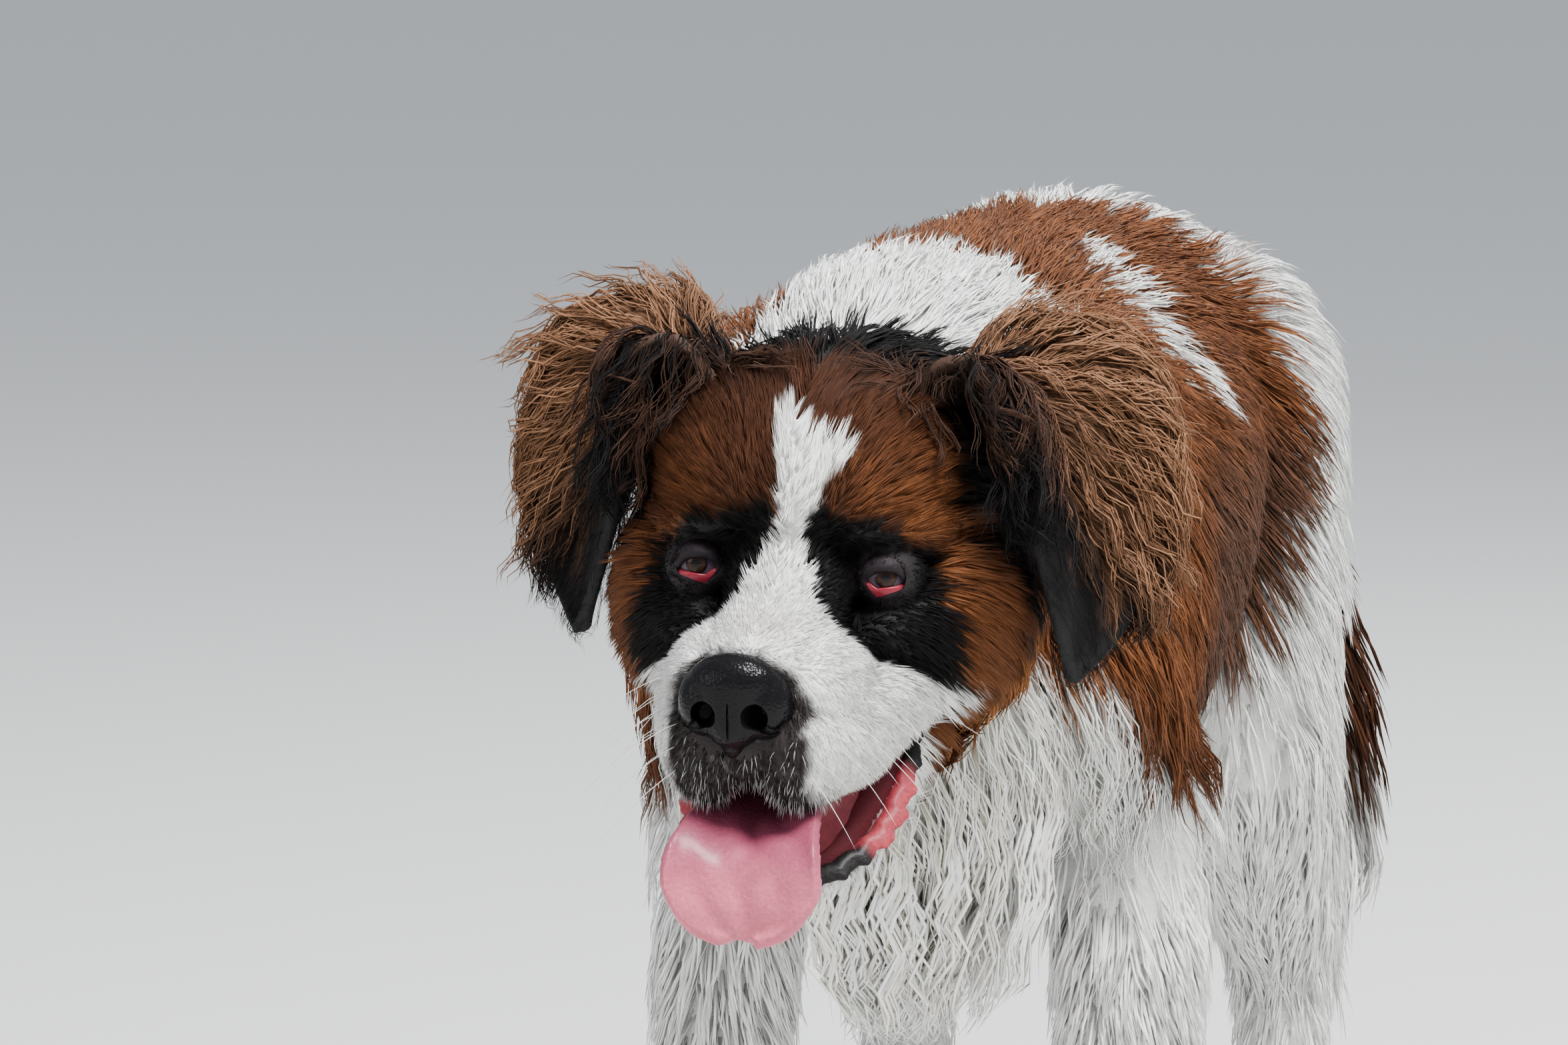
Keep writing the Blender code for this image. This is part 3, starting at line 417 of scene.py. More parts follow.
SOCKET_RADII = (0.0128, 0.0128, 0.0118)


def head_skin():
    """Skull, ear roots and jaw, with the eye sockets and the mouth cut out."""
    ear_fold = [
        ball(-0.058, 0.080, 0.056, 0.016, 0.018, 0.020),
        ball(-0.088, 0.086, 0.076, 0.014, 0.015, 0.020),
    ]
    skull = massed(skull_chains() + both_sides([ear_fold]), HEAD_DEPTH, "head", HEAD)
    head = melted(skull, HEAD_VOXEL, 7)
    jaw = melted(massed(jaw_chains(), HEAD_DEPTH, "jaw", HEAD), HEAD_VOXEL, 5)
    hollow = melted(massed(mouth_chains(), 0.0, "hollow", HEAD, 3), 0.004, 1)
    cut_or_joined(head, hollow, "DIFFERENCE")
    for side in (1, -1):
        place = eye_place(side) + eye_axes(side)[0] * 0.0060
        socket = [[ball(*place, *SOCKET_RADII)]]
        cut_or_joined(head, massed(socket, 0.0, "socket", HEAD), "DIFFERENCE")
    return cut_or_joined(head, jaw, "UNION")


# The middle line of each ear from its root to its tip, in the head's frame
EAR_LINES = {
    1: line_through(
        (0.062, 0.086, 0.066), (0.092, 0.088, 0.092), (0.128, 0.090, 0.072),
        (0.144, 0.088, 0.024), (0.146, 0.082, -0.028), (0.139, 0.076, -0.070),
    ),
    -1: line_through(
        (-0.062, 0.086, 0.070), (-0.094, 0.088, 0.096), (-0.122, 0.090, 0.076),
        (-0.134, 0.088, 0.030), (-0.138, 0.082, -0.018), (-0.138, 0.074, -0.058),
    ),
}
EAR_TURNS = {1: math.radians(40), -1: math.radians(46)}
EAR_THICKNESS = 0.0070


def between(p0, p1, p2, p3, t):
    """The point at t of the smooth curve from p1 to p2, and its direction."""
    a = 2 * p0 - 5 * p1 + 4 * p2 - p3
    b = 3 * p1 - p0 - 3 * p2 + p3
    here = 0.5 * (2 * p1 + (p2 - p0) * t + a * t * t + b * t * t * t)
    return here, (p2 - p0) + 2 * a * t + 3 * b * t * t


def along_path(points, share):
    """The point at that share of a smooth curve through the points, and the direction there."""
    count = len(points) - 1
    at = min(max(share, 0.0), 1.0) * count
    i = min(int(at), count - 1)
    p1, p2 = points[i], points[i + 1]
    p0 = points[i - 1] if i > 0 else p1 * 2 - p2
    p3 = points[i + 2] if i + 2 <= count else p2 * 2 - p1
    here, way = between(p0, p1, p2, p3, at - i)
    return here, way.normalized()


def ear_half_width(v):
    """Half the ear's width: a broad root, fullest above the middle, rounded at the tip."""
    full = 0.042 + 0.012 * math.sin(math.pi * min(1.0, v * 1.3))
    return full - 0.040 * max(0.0, (v - 0.60) / 0.40) ** 2.2


def ear_across(side, v, way):
    turn = EAR_TURNS[side] * min(1.0, v * 2.5)
    across = Vector((side * math.sin(turn), math.cos(turn), 0.0))
    return (across - way * across.dot(way)).normalized()


def sheet(name, place, thickness, voxel, smoothing=2):
    """A curved sheet with rounded edges, over the head's grid."""
    obj = thickened(head_grid(24, 48, place), thickness)
    obj.name = name
    return melted(obj, voxel, smoothing)


def ear_skin(side):
    """The ear leather: folded over at its root and cupped, its front edge against the cheek."""
    def place(u, v):
        here, way = along_path(EAR_LINES[side], v)
        across = ear_across(side, v, way)
        out = way.cross(across) * -side
        cup = 0.012 * (1 - v) + 0.008
        return here + across * u * (ear_half_width(v) - 0.0025) - out * cup * u * u

    return sheet("ear", place, EAR_THICKNESS, 0.0024)


def read(values, name, width=1, kind=np.float32):
    """A value, or a row of values, of each item in one of a mesh's collections."""
    found = np.empty(len(values) * width, kind)
    values.foreach_get(name, found)
    return found.reshape(-1, width) if width > 1 else found


def vertex_places(mesh):
    return read(mesh.vertices, "co", 3).astype(float)


def to_head(points):
    """Points of the layout in the head's own frame."""
    return points @ HEAD_BACK[:3, :3].T + HEAD_BACK[:3, 3]


def unit(vectors):
    return vectors / np.maximum(np.linalg.norm(vectors, axis=-1, keepdims=True), 1e-9)


def ripple(points, size, seed):
    """A smooth irregular wave over space, about -1 to 1."""
    rng = np.random.default_rng(seed)
    total = np.zeros(len(points))
    for octave in range(6):
        way = unit(rng.normal(size=3))
        pace = 2 * math.pi / size
        total += np.sin(points @ way * pace * rng.uniform(0.6, 1.7) + rng.uniform(0, 6.28))
    return total / 3.0


def smooth_step(low, high, value):
    """0 at low and 1 at high, eased at both ends. Falls where low is above high."""
    t = np.clip((value - low) / (high - low), 0, 1)
    return t * t * (3 - 2 * t)


def distance_to(points, chain):
    """How far each point is outside a chain of balls (centre, radius), below 0 inside."""
    best = np.full(len(points), 1e9)
    for (a, ra), (b, rb) in zip(chain[:-1], chain[1:]):
        a, b = np.array(a, float), np.array(b, float)
        span = b - a
        t = np.clip(((points - a) @ span) / max(span @ span, 1e-12), 0, 1)
        gap = np.linalg.norm(points - a - t[:, None] * span, axis=1) - (ra + (rb - ra) * t)
        best = np.minimum(best, gap)
    return best


# The colours of coat and skin, linear
RUST = np.array((0.190, 0.066, 0.024))
RUST_DARK = np.array((0.068, 0.025, 0.012))
BROWN_GREY = np.array((0.085, 0.042, 0.027))
ORANGE = np.array((0.34, 0.130, 0.038))
BLACK = np.array((0.0070, 0.0062, 0.0062))
SOOT = np.array((0.028, 0.022, 0.021))
WHITE = np.array((0.88, 0.87, 0.84))
CREAM = np.array((0.72, 0.66, 0.50))
MOUTH_RED = np.array((0.10, 0.012, 0.018))
RIM_SKIN = np.array((0.012, 0.009, 0.010))
GREY = np.array((0.20, 0.19, 0.185))
WORN = np.array((0.50, 0.40, 0.38))
TAN = np.array((0.235, 0.115, 0.060))
EAR_DARK = np.array((0.052, 0.026, 0.017))


def painted(colours, mask, colour):
    return colours * (1 - mask[:, None]) + colour * mask[:, None]


# The blaze in the head's frame: its place from nose to forehead (y + z), its right and its left edge
BLAZE = [
    (-0.020, -0.019, 0.021),
    (-0.003, -0.012, 0.015),
    (0.008, -0.006, 0.010),
    (0.016, -0.003, 0.012),
    (0.034, -0.003, 0.022),
    (0.050, -0.006, 0.036),
    (0.070, -0.008, 0.036),
    (0.079, -0.009, 0.030),
    (0.083, -0.010, 0.010),
    (0.100, -0.011, 0.002),
    (0.122, -0.007, -0.007),
]

# The black mask from the front, in the head's frame: places across and up, with a radius, as chains
MASK = [
    [
        (0.014, 0.027, 0.012), (0.046, 0.012, 0.021), (0.064, -0.002, 0.018),
        (0.070, -0.030, 0.023), (0.076, -0.052, 0.019), (0.085, -0.070, 0.009),
    ],
    [(0.018, 0.010, 0.015), (0.032, -0.012, 0.017), (0.050, -0.032, 0.022), (0.066, -0.055, 0.018)],
]


def front_distance(points, chain):
    """Distance to a chain of discs, seen from the front of the head."""
    flat = np.stack([np.abs(points[:, 0]), np.zeros(len(points)), points[:, 2]], 1)
    return distance_to(flat, [((x, 0.0, z), r) for x, z, r in chain])


# The black round each ear's root, in the head's frame
EAR_BASE = [
    ((0.076, 0.070, 0.078), 0.030), ((0.106, 0.058, 0.030), 0.018),
    ((0.114, 0.066, -0.020), 0.014), ((0.116, 0.075, -0.055), 0.010),
]

# The upper edge of the white muzzle: how far up it lies at places across
MUZZLE_EDGE = [(0.015, 0.041), (0.025, 0.024), (0.032, 0.014), (0.044, -0.001), (0.052, -0.003)]


def at_points(values, table, column=1):
    """A column of the table at values of its first column."""
    return np.interp(values, [row[0] for row in table], [row[column] for row in table])


def lip_at(y):
    """Half the width and the height of the lower lip at places along the head."""
    line = LIP_LINE[::-1]
    along = [point.y for point in line]
    return np.interp(y, along, [point.x for point in line]), np.interp(y, along, [point.z for point in line])


def head_ground(h, warp):
    """Rust, darker between the eyes and on top, black on the crown and round the ears."""
    x, y, z = h.T
    side = np.abs(x)
    colours = np.tile(RUST * 0.84, (len(h), 1))
    colours = painted(colours, smooth_step(-0.2, 0.9, ripple(h, 0.022, 8)) * 0.5, RUST_DARK)
    dark = smooth_step(0.030, 0.080, y + 0.35 * z + ripple(h, 0.05, 5) * 0.010)
    colours = painted(colours, dark * 0.75, RUST_DARK)
    near_blaze = 1 - smooth_step(0.020, 0.062, side + warp * 2)
    colours = painted(colours, near_blaze * smooth_step(0.0, 0.05, z) * 0.92, RUST_DARK * 0.7)
    top = smooth_step(0.036, 0.080, z + 0.4 * y + ripple(h, 0.03, 7) * 0.006)
    colours = painted(colours, top * smooth_step(0.085, 0.060, side) * 0.75, RUST_DARK * 0.8)
    crown = smooth_step(0.075, 0.110, y + 0.5 * (z - 0.06) + ripple(h, 0.04, 6) * 0.008)
    colours = painted(colours, crown * smooth_step(0.02, 0.06, z), BLACK)
    ear_base = distance_to(np.stack([side, y, z], 1), EAR_BASE) + warp * 2
    colours = painted(colours, smooth_step(0.0, 0.006, -np.minimum(ear_base, 0)), BLACK)
    cheek = smooth_step(0.105, 0.150, y - z) * smooth_step(0.07, 0.09, side)
    return painted(colours, cheek * 0.6, ORANGE)


def head_white(h, warp):
    """How white the head is: the blaze, the muzzle, the flews and the throat."""
    x, y, z = h.T
    along = y + z
    outside = np.maximum(at_points(along, BLAZE) - x, x - at_points(along, BLAZE, 2))
    blaze = smooth_step(0.0012, -0.0012, outside + warp)
    blaze = blaze * (along > -0.03) * (along < BLAZE[-1][0]) * (y < 0.06)
    rim = -0.031 - 0.58 * (y + 0.035) + at_points(np.abs(x), MUZZLE_EDGE)
    muzzle = smooth_step(0.0015, -0.0015, z - rim + 1.3 * warp) * smooth_step(0.038, 0.034, y + warp)
    under = smooth_step(-0.130, -0.140, z + 0.2 * (y - 0.02) + warp)
    jowl = smooth_step(-0.066, -0.072, z + warp) * smooth_step(0.040, 0.033, y + warp)
    return np.maximum.reduce([blaze, muzzle, under, jowl])


def head_markings(points):
    """Rust head with a black mask, a white blaze and muzzle, and black round the nose and lips."""
    h = to_head(points)
    x, y, z = h.T
    warp = ripple(h, 0.020, 3) * 0.0022 + ripple(h, 0.007, 4) * 0.0009
    colours = head_ground(h, warp)
    mask = np.minimum.reduce([front_distance(h, chain) for chain in MASK]) + warp * 1.5
    colours = painted(colours, smooth_step(0.003, -0.003, mask) * smooth_step(0.055, 0.045, y), BLACK)
    white = head_white(h, warp)
    colours = painted(colours, white, WHITE)
    worn = np.exp(-((h - (0.004, -0.068, -0.020)) ** 2).sum(1) / 0.017**2)
    colours = painted(colours, worn * 0.55, WORN)
    lips = smooth_step(0.044, 0.036, np.abs(x + 0.003) + warp * 1.5) * smooth_step(-0.060, -0.070, z + warp)
    from_nose = np.hypot((x + 0.005) / 0.041, (z + 0.058) / 0.033)
    round_nose = 1 - smooth_step(0.90, 1.12, from_nose + warp * 30)
    front = np.maximum(lips, round_nose) * smooth_step(-0.066, -0.078, y + warp)
    colours = painted(colours, front, SOOT)
    speck = smooth_step(0.82, 1.0, ripple(h, 0.009, 12) * ripple(h, 0.013, 13) + 0.30)
    colours = painted(colours, speck * white * 0.35 * (z < 0.0), GREY)
    _, lip_z = lip_at(y)
    chin = smooth_step(0.010, 0.004, np.abs(z - lip_z + 0.006) + warp) * smooth_step(-0.010, -0.028, y)
    return painted(colours, chin * (z < -0.10), SOOT)


def bare_colours(points, colours):
    """The head's colours with the red of the mouth's inside and the dark rims of the eyes."""
    h = to_head(points)
    x, y, z = h.T
    lip_x, lip_z = lip_at(y)
    inner = (np.abs(x) < lip_x - 0.003) & (z > lip_z - 0.002) & (z < -0.080) & (y < 0.09) & (y > -0.085)
    colours = painted(colours, inner.astype(float), MOUTH_RED)
    return painted(colours, smooth_step(0.0200, 0.0170, eye_distance(h)), RIM_SKIN)


# The lower edge of the rust at places along the body, and the half width of the white breast
RUST_EDGE = [
    (-0.36, 0.53), (-0.326, 0.492), (-0.304, 0.467), (-0.252, 0.433), (-0.214, 0.416),
    (-0.12, 0.42), (0.0, 0.42), (0.2, 0.415), (0.3, 0.42),
]
BREAST_WIDTH = [(-0.45, 0.11), (-0.33, 0.085), (-0.28, 0.05)]

# Where the white of the haunch begins at heights
HAUNCH_EDGE = [
    (0.40, 0.235), (0.457, 0.242), (0.497, 0.265), (0.538, 0.288), (0.58, 0.298),
    (0.625, 0.280), (0.654, 0.282), (0.70, 0.290), (0.74, 0.32), (0.80, 0.36),
]
CROUP = [((-0.050, 0.30, 0.77), 0.055), ((0.030, 0.33, 0.77), 0.055)]
STRIPE = [
    ((0.084, 0.035, 0.725), 0.034), ((0.112, -0.010, 0.692), 0.030),
    ((0.130, 0.018, 0.665), 0.018), ((0.146, 0.055, 0.638), 0.003),
]


def body_markings(points):
    """A rust saddle on white: collar, chest, belly, legs, haunches and a stripe on the left flank."""
    x, y, z = points.T
    warp = ripple(points, 0.10, 21) * 0.009 + ripple(points, 0.03, 22) * 0.004
    side = np.abs(x)
    colours = np.tile(RUST, (len(points), 1))
    shade = 0.5 + 0.5 * np.clip(ripple(points, 0.16, 23), -1, 1)
    colours = painted(colours, shade * 0.45, RUST_DARK)
    # Painted shade: the rust turns darker grey-brown low on the flank, below the lit top of the body
    flank = smooth_step(0.64, 0.56, z + warp) * smooth_step(-0.16, -0.04, y)
    colours = painted(colours, flank * 0.85, BROWN_GREY)
    # Painted shade: the rust darkens low on the shoulder
    shoulder_shade = smooth_step(0.52, 0.44, z + warp) * smooth_step(-0.10, -0.18, y)
    colours = painted(colours, shoulder_shade * 0.8, RUST_DARK)
    nape = smooth_step(-0.40, -0.44, y + warp) * smooth_step(0.60, 0.66, z + warp)
    colours = painted(colours, nape, RUST_DARK * 0.6)
    under = smooth_step(0.006, -0.006, z - at_points(y, RUST_EDGE) + warp)
    breast = smooth_step(0.006, -0.006, side - at_points(y, BREAST_WIDTH) + warp) * (z < 0.53)
    collar = smooth_step(0.005, -0.005, y + 0.190 + 1.2 * np.maximum(0, side - 0.06) + warp * 1.2)
    collar = collar * smooth_step(0.668, 0.680, z + warp)
    collar = collar * smooth_step(0.005, -0.005, side + warp - np.where(x < 0, 0.075, 0.112))
    haunch = smooth_step(-0.006, 0.006, y - at_points(z, HAUNCH_EDGE) + warp) * (side > 0.060 + warp)
    croup = smooth_step(0.006, -0.006, distance_to(points, CROUP) + warp)
    stripe = smooth_step(0.003, -0.003, distance_to(points, STRIPE) + warp * 0.6)
    white = np.maximum.reduce([under, breast, collar, haunch, croup, stripe])
    colours = painted(colours, white, WHITE)
    cream = np.exp(-((points - (0.04, -0.43, 0.43)) ** 2).sum(1) / 0.12**2)
    cream = cream * smooth_step(-0.4, 0.3, ripple(points, 0.03, 24))
    colours = painted(colours, cream * white * 0.8, CREAM)
    seat = smooth_step(0.43, 0.47, y + warp) * smooth_step(0.40, 0.48, z) * smooth_step(0.13, 0.10, side)
    return painted(colours, seat, RUST_DARK * 0.6)


def tail_markings(points):
    """Dark, with a white end."""
    z = points[:, 2]
    colours = np.tile(RUST_DARK * 0.55, (len(points), 1))
    return painted(colours, smooth_step(0.34, 0.28, z + ripple(points, 0.05, 31) * 0.012), WHITE)


def ear_place(points, side):
    """Where points of one ear lie on it: across, -1 at its front edge to 1, and along, 0 to 1."""
    h = to_head(points)
    steps = 40
    line = [along_path(EAR_LINES[side], i / steps) for i in range(steps + 1)]
    centres = np.array([p for p, _ in line])
    nearest = np.argmin(((h[:, None, :] - centres[None]) ** 2).sum(2), axis=1)
    across = np.array([ear_across(side, i / steps, way) for i, (_, way) in enumerate(line)])
    widths = np.array([ear_half_width(i / steps) for i in range(steps + 1)])
    u = ((h - centres[nearest]) * across[nearest]).sum(1) / widths[nearest]
    return u, nearest / steps


def long_ear_hair(u, v):
    """1 where the ear's long outer hair grows: all of its upper half, and behind its front edge below."""
    front = np.interp(v, [0.0, 0.25, 0.5, 0.7], [-1.6, -1.1, -0.55, -0.05])
    return smooth_step(-0.12, 0.12, u - front) * smooth_step(0.84, 0.66, v)


def ear_markings(points, side):
    """Black leather with a wash of tan where the long outer hair grows."""
    u, v = ear_place(points, side)
    warp = ripple(points, 0.03, 41) * 0.08
    colours = np.tile(BLACK * 1.3, (len(points), 1))
    colours = painted(colours, long_ear_hair(u + warp, v + warp), EAR_DARK)
    tan = smooth_step(-0.45, 0.35, u + warp + ripple(points, 0.016, 42) * 0.30)
    tan = tan * smooth_step(0.82, 0.62, v + warp) * smooth_step(0.02, 0.22, v + warp)
    return painted(colours, tan, TAN)


SKIN_PARTS = ("body", "tail", "head", "ear_l", "ear_r")


def markings(points, part):
    """The coat's colour at each point of one part of the skin."""
    if part == "head":
        return head_markings(points)
    if part == "tail":
        return tail_markings(points)
    if part.startswith("ear"):
        return ear_markings(points, 1 if part == "ear_l" else -1)
    return body_markings(points)


GAZE = unit(np.array((0.20, -1.0, 0.12)))
EYE_BALL_R = 0.0130
EYE_RAISE = {1: 0.0000, -1: 0.0022}


def eye_place(side):
    """The visible eyeball's centre in the head's frame, a little behind that of the solid."""
    return Vector((side * 0.052, 0.0035, -0.001 + EYE_RAISE[side]))


def eye_axes(side):
    """Gaze, right and up of one eye, in the head's frame."""
    gaze = Vector(GAZE)
    gaze.x += 0.10 * side
    gaze.normalize()
    right = gaze.cross(Vector((0, 0, 1))).normalized()
    return gaze, right, right.cross(gaze)


# The opening of the lids: across and up from its middle, from the inner corner over the top
LID_EDGE = [
    (-0.0110, -0.0044), (-0.0086, -0.0010), (-0.0048, 0.0020), (0.0000, 0.0030), (0.0050, 0.0026),
    (0.0088, 0.0004), (0.0106, -0.0018), (0.0086, -0.0050), (0.0060, -0.0086), (0.0042, -0.0102),
    (0.0014, -0.0082), (-0.0040, -0.0062), (-0.0085, -0.0052),
]


def lid_edge(side, turn):
    """The lids' edge at a share of the way round, right being the dog's own left."""
    count = len(LID_EDGE)
    at = (turn % 1.0) * count
    i, t = int(at), (turn % 1.0) * count - int(at)
    points = [Vector((*LID_EDGE[(i + k) % count], 0)) for k in (-1, 0, 1, 2)]
    here, _ = between(*points, t)
    return here.x * side, here.y


def on_eye(side, across, up, radius):
    """A point over the eyeball at that place of the opening's flat drawing."""
    gaze, right, above = eye_axes(side)
    flat = math.hypot(across, up)
    angle = min(flat / EYE_BALL_R, 2.6)
    way = right * across + above * up
    way = way.normalized() if flat > 1e-9 else right
    return eye_place(side) + (gaze * math.cos(angle) + way * math.sin(angle)) * radius


def eyeball(side):
    """The ball of the eye, its bulging cornea forwards."""
    bpy.ops.mesh.primitive_uv_sphere_add(segments=64, ring_count=48, radius=EYE_BALL_R)
    obj = chosen(bpy.context.active_object)
    gaze, right, above = eye_axes(side)
    for vert in obj.data.vertices:
        share = vert.co.z / EYE_BALL_R
        bulge = 1 + 0.045 * max(0.0, (share - 0.86) / 0.14) ** 0.8
        x, y, z = vert.co * bulge
        vert.co = HEAD @ (eye_place(side) + right * x + above * y + gaze * z)
    return smoothed(obj, lettered("eyeball", side))


# The section of a lid: out from the edge of the opening and up from the ball
LID_PROFILE = [
    (0.0000, 0.0003), (0.0001, 0.0013), (0.0008, 0.0022), (0.0022, 0.0028), (0.0044, 0.0028),
    (0.0072, 0.0018), (0.0105, -0.0010), (0.0095, -0.0040), (0.0055, -0.0012), (0.0025, 0.0000),
]
LID_TURNS = 72


def out_of_eye(x, y):
    """The way out from the middle of the opening at a point of its edge."""
    return Vector((x, y + 0.0030, 0)).normalized()


def eyelids(side):
    """Bare rims round the eye: a ring drawn from the opening's edge out over the ball."""
    around = len(LID_PROFILE)
    bpy.ops.mesh.primitive_torus_add(
        major_segments=LID_TURNS, minor_segments=around, major_radius=1, minor_radius=0.2
    )
    obj = chosen(bpy.context.active_object)
    for i, vert in enumerate(obj.data.vertices):
        turn, place = (i // around) / LID_TURNS, i % around
        out, rise = LID_PROFILE[place]
        x, y = lid_edge(side, turn)
        way = out_of_eye(x, y)
        upper = max(0.0, way.y)
        out *= 1 + 0.35 * upper
        rise += 0.0010 * upper * (1 if 1 <= place <= 5 else 0)
        vert.co = HEAD @ on_eye(side, x + way.x * out, y + way.y * out, EYE_BALL_R + rise)
    bpy.ops.object.mode_set(mode="EDIT")
    bpy.ops.mesh.select_all(action="SELECT")
    bpy.ops.mesh.normals_make_consistent(inside=False)
    bpy.ops.object.mode_set(mode="OBJECT")
    return smoothed(obj, lettered("eyelid", side))


# The lower and the upper edge of the haw at places across the eye
HAW_HALF_WIDTH = 0.0108
HAW_LOW = [
    (-0.0108, -0.0062), (-0.0040, -0.0074), (0.0012, -0.0092),
    (0.0045, -0.0108), (0.0085, -0.0064), (0.0108, -0.0040),
]
HAW_TOP = [(-0.0108, -0.0052), (-0.0060, -0.0056), (0.0000, -0.0060), (0.0050, -0.0064), (0.0108, -0.0036)]


def haw(side):
    """The red, wet lining that shows where the lower lid hangs away from the eye."""
    def place(u, v):
        across = -HAW_HALF_WIDTH + 2 * HAW_HALF_WIDTH * (u + 1) / 2
        low, top = at_points(across, HAW_LOW), at_points(across, HAW_TOP)
        up = low + (top - low) * v
        return on_eye(side, across * side, float(up), EYE_BALL_R + 0.0013 * (1 - v) ** 0.5 + 0.0002)

    return smoothed(thickened(head_grid(24, 8, place), 0.0012, -side), lettered("haw", side))


def nose_pad():
    """The nose leather: a broad cushion with comma-shaped nostrils and a groove down its middle."""
    pad = both_sides([
        [
            ball(0.0160, -0.097, -0.044, 0.0165, 0.015, 0.0185),
            ball(0.0230, -0.092, -0.050, 0.0110, 0.012, 0.0130),
        ],
    ])
    pad.append([
        ball(0, -0.100, -0.034, 0.0265, 0.0150, 0.0150),
        ball(0, -0.101, -0.052, 0.0170, 0.0130, 0.0150),
    ])
    pad.append([ball(0, -0.098, -0.060, 0.0085, 0.0100, 0.0130)])
    nose = melted(massed(pad, 0.0, "nose_leather", HEAD, 4), 0.0011, 5)
    holes = both_sides([
        [
            ball(0.0140, -0.118, -0.0490, 0.0074, 0.014, 0.0078),
            ball(0.0170, -0.102, -0.0480, 0.0060, 0.008, 0.0060),
        ],
        [
            ball(0.0170, -0.117, -0.0545, 0.0046, 0.010, 0.0040),
            ball(0.0250, -0.109, -0.0570, 0.0034, 0.008, 0.0030),
        ],
        [
            ball(0.0250, -0.109, -0.0570, 0.0032, 0.008, 0.0028),
            ball(0.0335, -0.098, -0.0520, 0.0020, 0.006, 0.0020),
        ],
    ])
    holes.append([
        ball(0, -0.1185, -0.042, 0.0009, 0.0058, 0.002),
        ball(0, -0.1130, -0.080, 0.0011, 0.0060, 0.002),
    ])
    cutter = melted(massed(holes, 0.0, "nostrils", HEAD, 3), 0.0009, 2)
    cut_or_joined(nose, cutter, "DIFFERENCE")
    smooth = nose.modifiers.new("soft", "SMOOTH")
    smooth.iterations = 4
    apply_all(nose)
    for vert, h in zip(nose.data.vertices, to_head(vertex_places(nose.data))):
        vert.co = HEAD @ Vector((h[0] * 0.96 - 0.0055, h[1], (h[2] + 0.050) * 1.09 - 0.0585))
    return smoothed(nose, "nose_leather")


TONGUE_LINE = line_through(
    (0.000, 0.040, -0.104), (0.000, 0.000, -0.112), (0.001, -0.045, -0.121), (0.002, -0.085, -0.128),
    (0.003, -0.108, -0.138), (0.003, -0.116, -0.158), (0.002, -0.115, -0.178),
)
TONGUE_WIDTH = [
    (0.0, 0.026), (0.30, 0.029), (0.55, 0.036), (0.68, 0.0415), (0.75, 0.0425), (0.80, 0.0415),
    (0.86, 0.0385),
]
TONGUE_PINK = np.array((0.50, 0.115, 0.165))
# The purple of the painted shadow on the tongue's upper part
TONGUE_SHADOW = np.array((0.20, 0.035, 0.070))


def tongue_half_width(v):
    """Half the tongue's width: broadest where it turns down over the lip, then rounded to its tip."""
    full = float(at_points(v, TONGUE_WIDTH))
    return full * math.sqrt(max(0.0, 1 - (max(0.0, v - 0.76) / 0.245) ** 2.2)) + 0.0012


def tongue():
    """The tongue hangs out over the lower lip, its edges curled up and a groove down its middle, painted
    darker near the lips as shadow from the muzzle.
    """
    def place(u, v):
        v = 1 - (1 - v) ** 1.9
        here, way = along_path(TONGUE_LINE, v)
        across = Vector((1.0, 0.0, 0.0))
        up = across.cross(way) * -1.0
        rim = 0.010 * u * u * (1.0 - 0.55 * v) + 0.0035 * abs(u) ** 5
        dish = rim - 0.0022 * math.exp(-((u / 0.16) ** 2)) * min(1, 2.2 * (1 - v) + 0.3)
        dish += 0.0012 * math.sin(9 * v + 4 * u) + 0.0007 * math.sin(21 * v - 11 * u)
        side_wave = 1 + 0.018 * math.sin(23 * v + 2 * (u > 0))
        return here + across * u * tongue_half_width(v) * side_wave + up * dish

    obj = sheet("tongue_skin", place, 0.0066, 0.0015, 6)
    places = vertex_places(obj.data)
    z = to_head(places)[:, 2]
    pink = np.tile(TONGUE_PINK, (len(places), 1))
    # Painted shadow: darker and more purple towards the root, where the muzzle shades the tongue
    deep = smooth_step(-0.156, -0.126, z + ripple(places, 0.02, 51) * 0.003)
    set_colours(obj.data, painted(pink, deep * 0.75, TONGUE_SHADOW))
    return smoothed(obj, "tongue_skin")


# The edge of the lower lip on the left side, from the corner of the mouth to the chin
LIP_LINE = line_through(
    (0.0620, 0.034, -0.088), (0.0640, 0.014, -0.106), (0.0640, -0.006, -0.122), (0.0600, -0.024, -0.136),
    (0.0500, -0.041, -0.146), (0.0360, -0.055, -0.154), (0.0160, -0.064, -0.160), (0.0000, -0.066, -0.162),
)
LIP_RED = np.array((0.27, 0.034, 0.046))


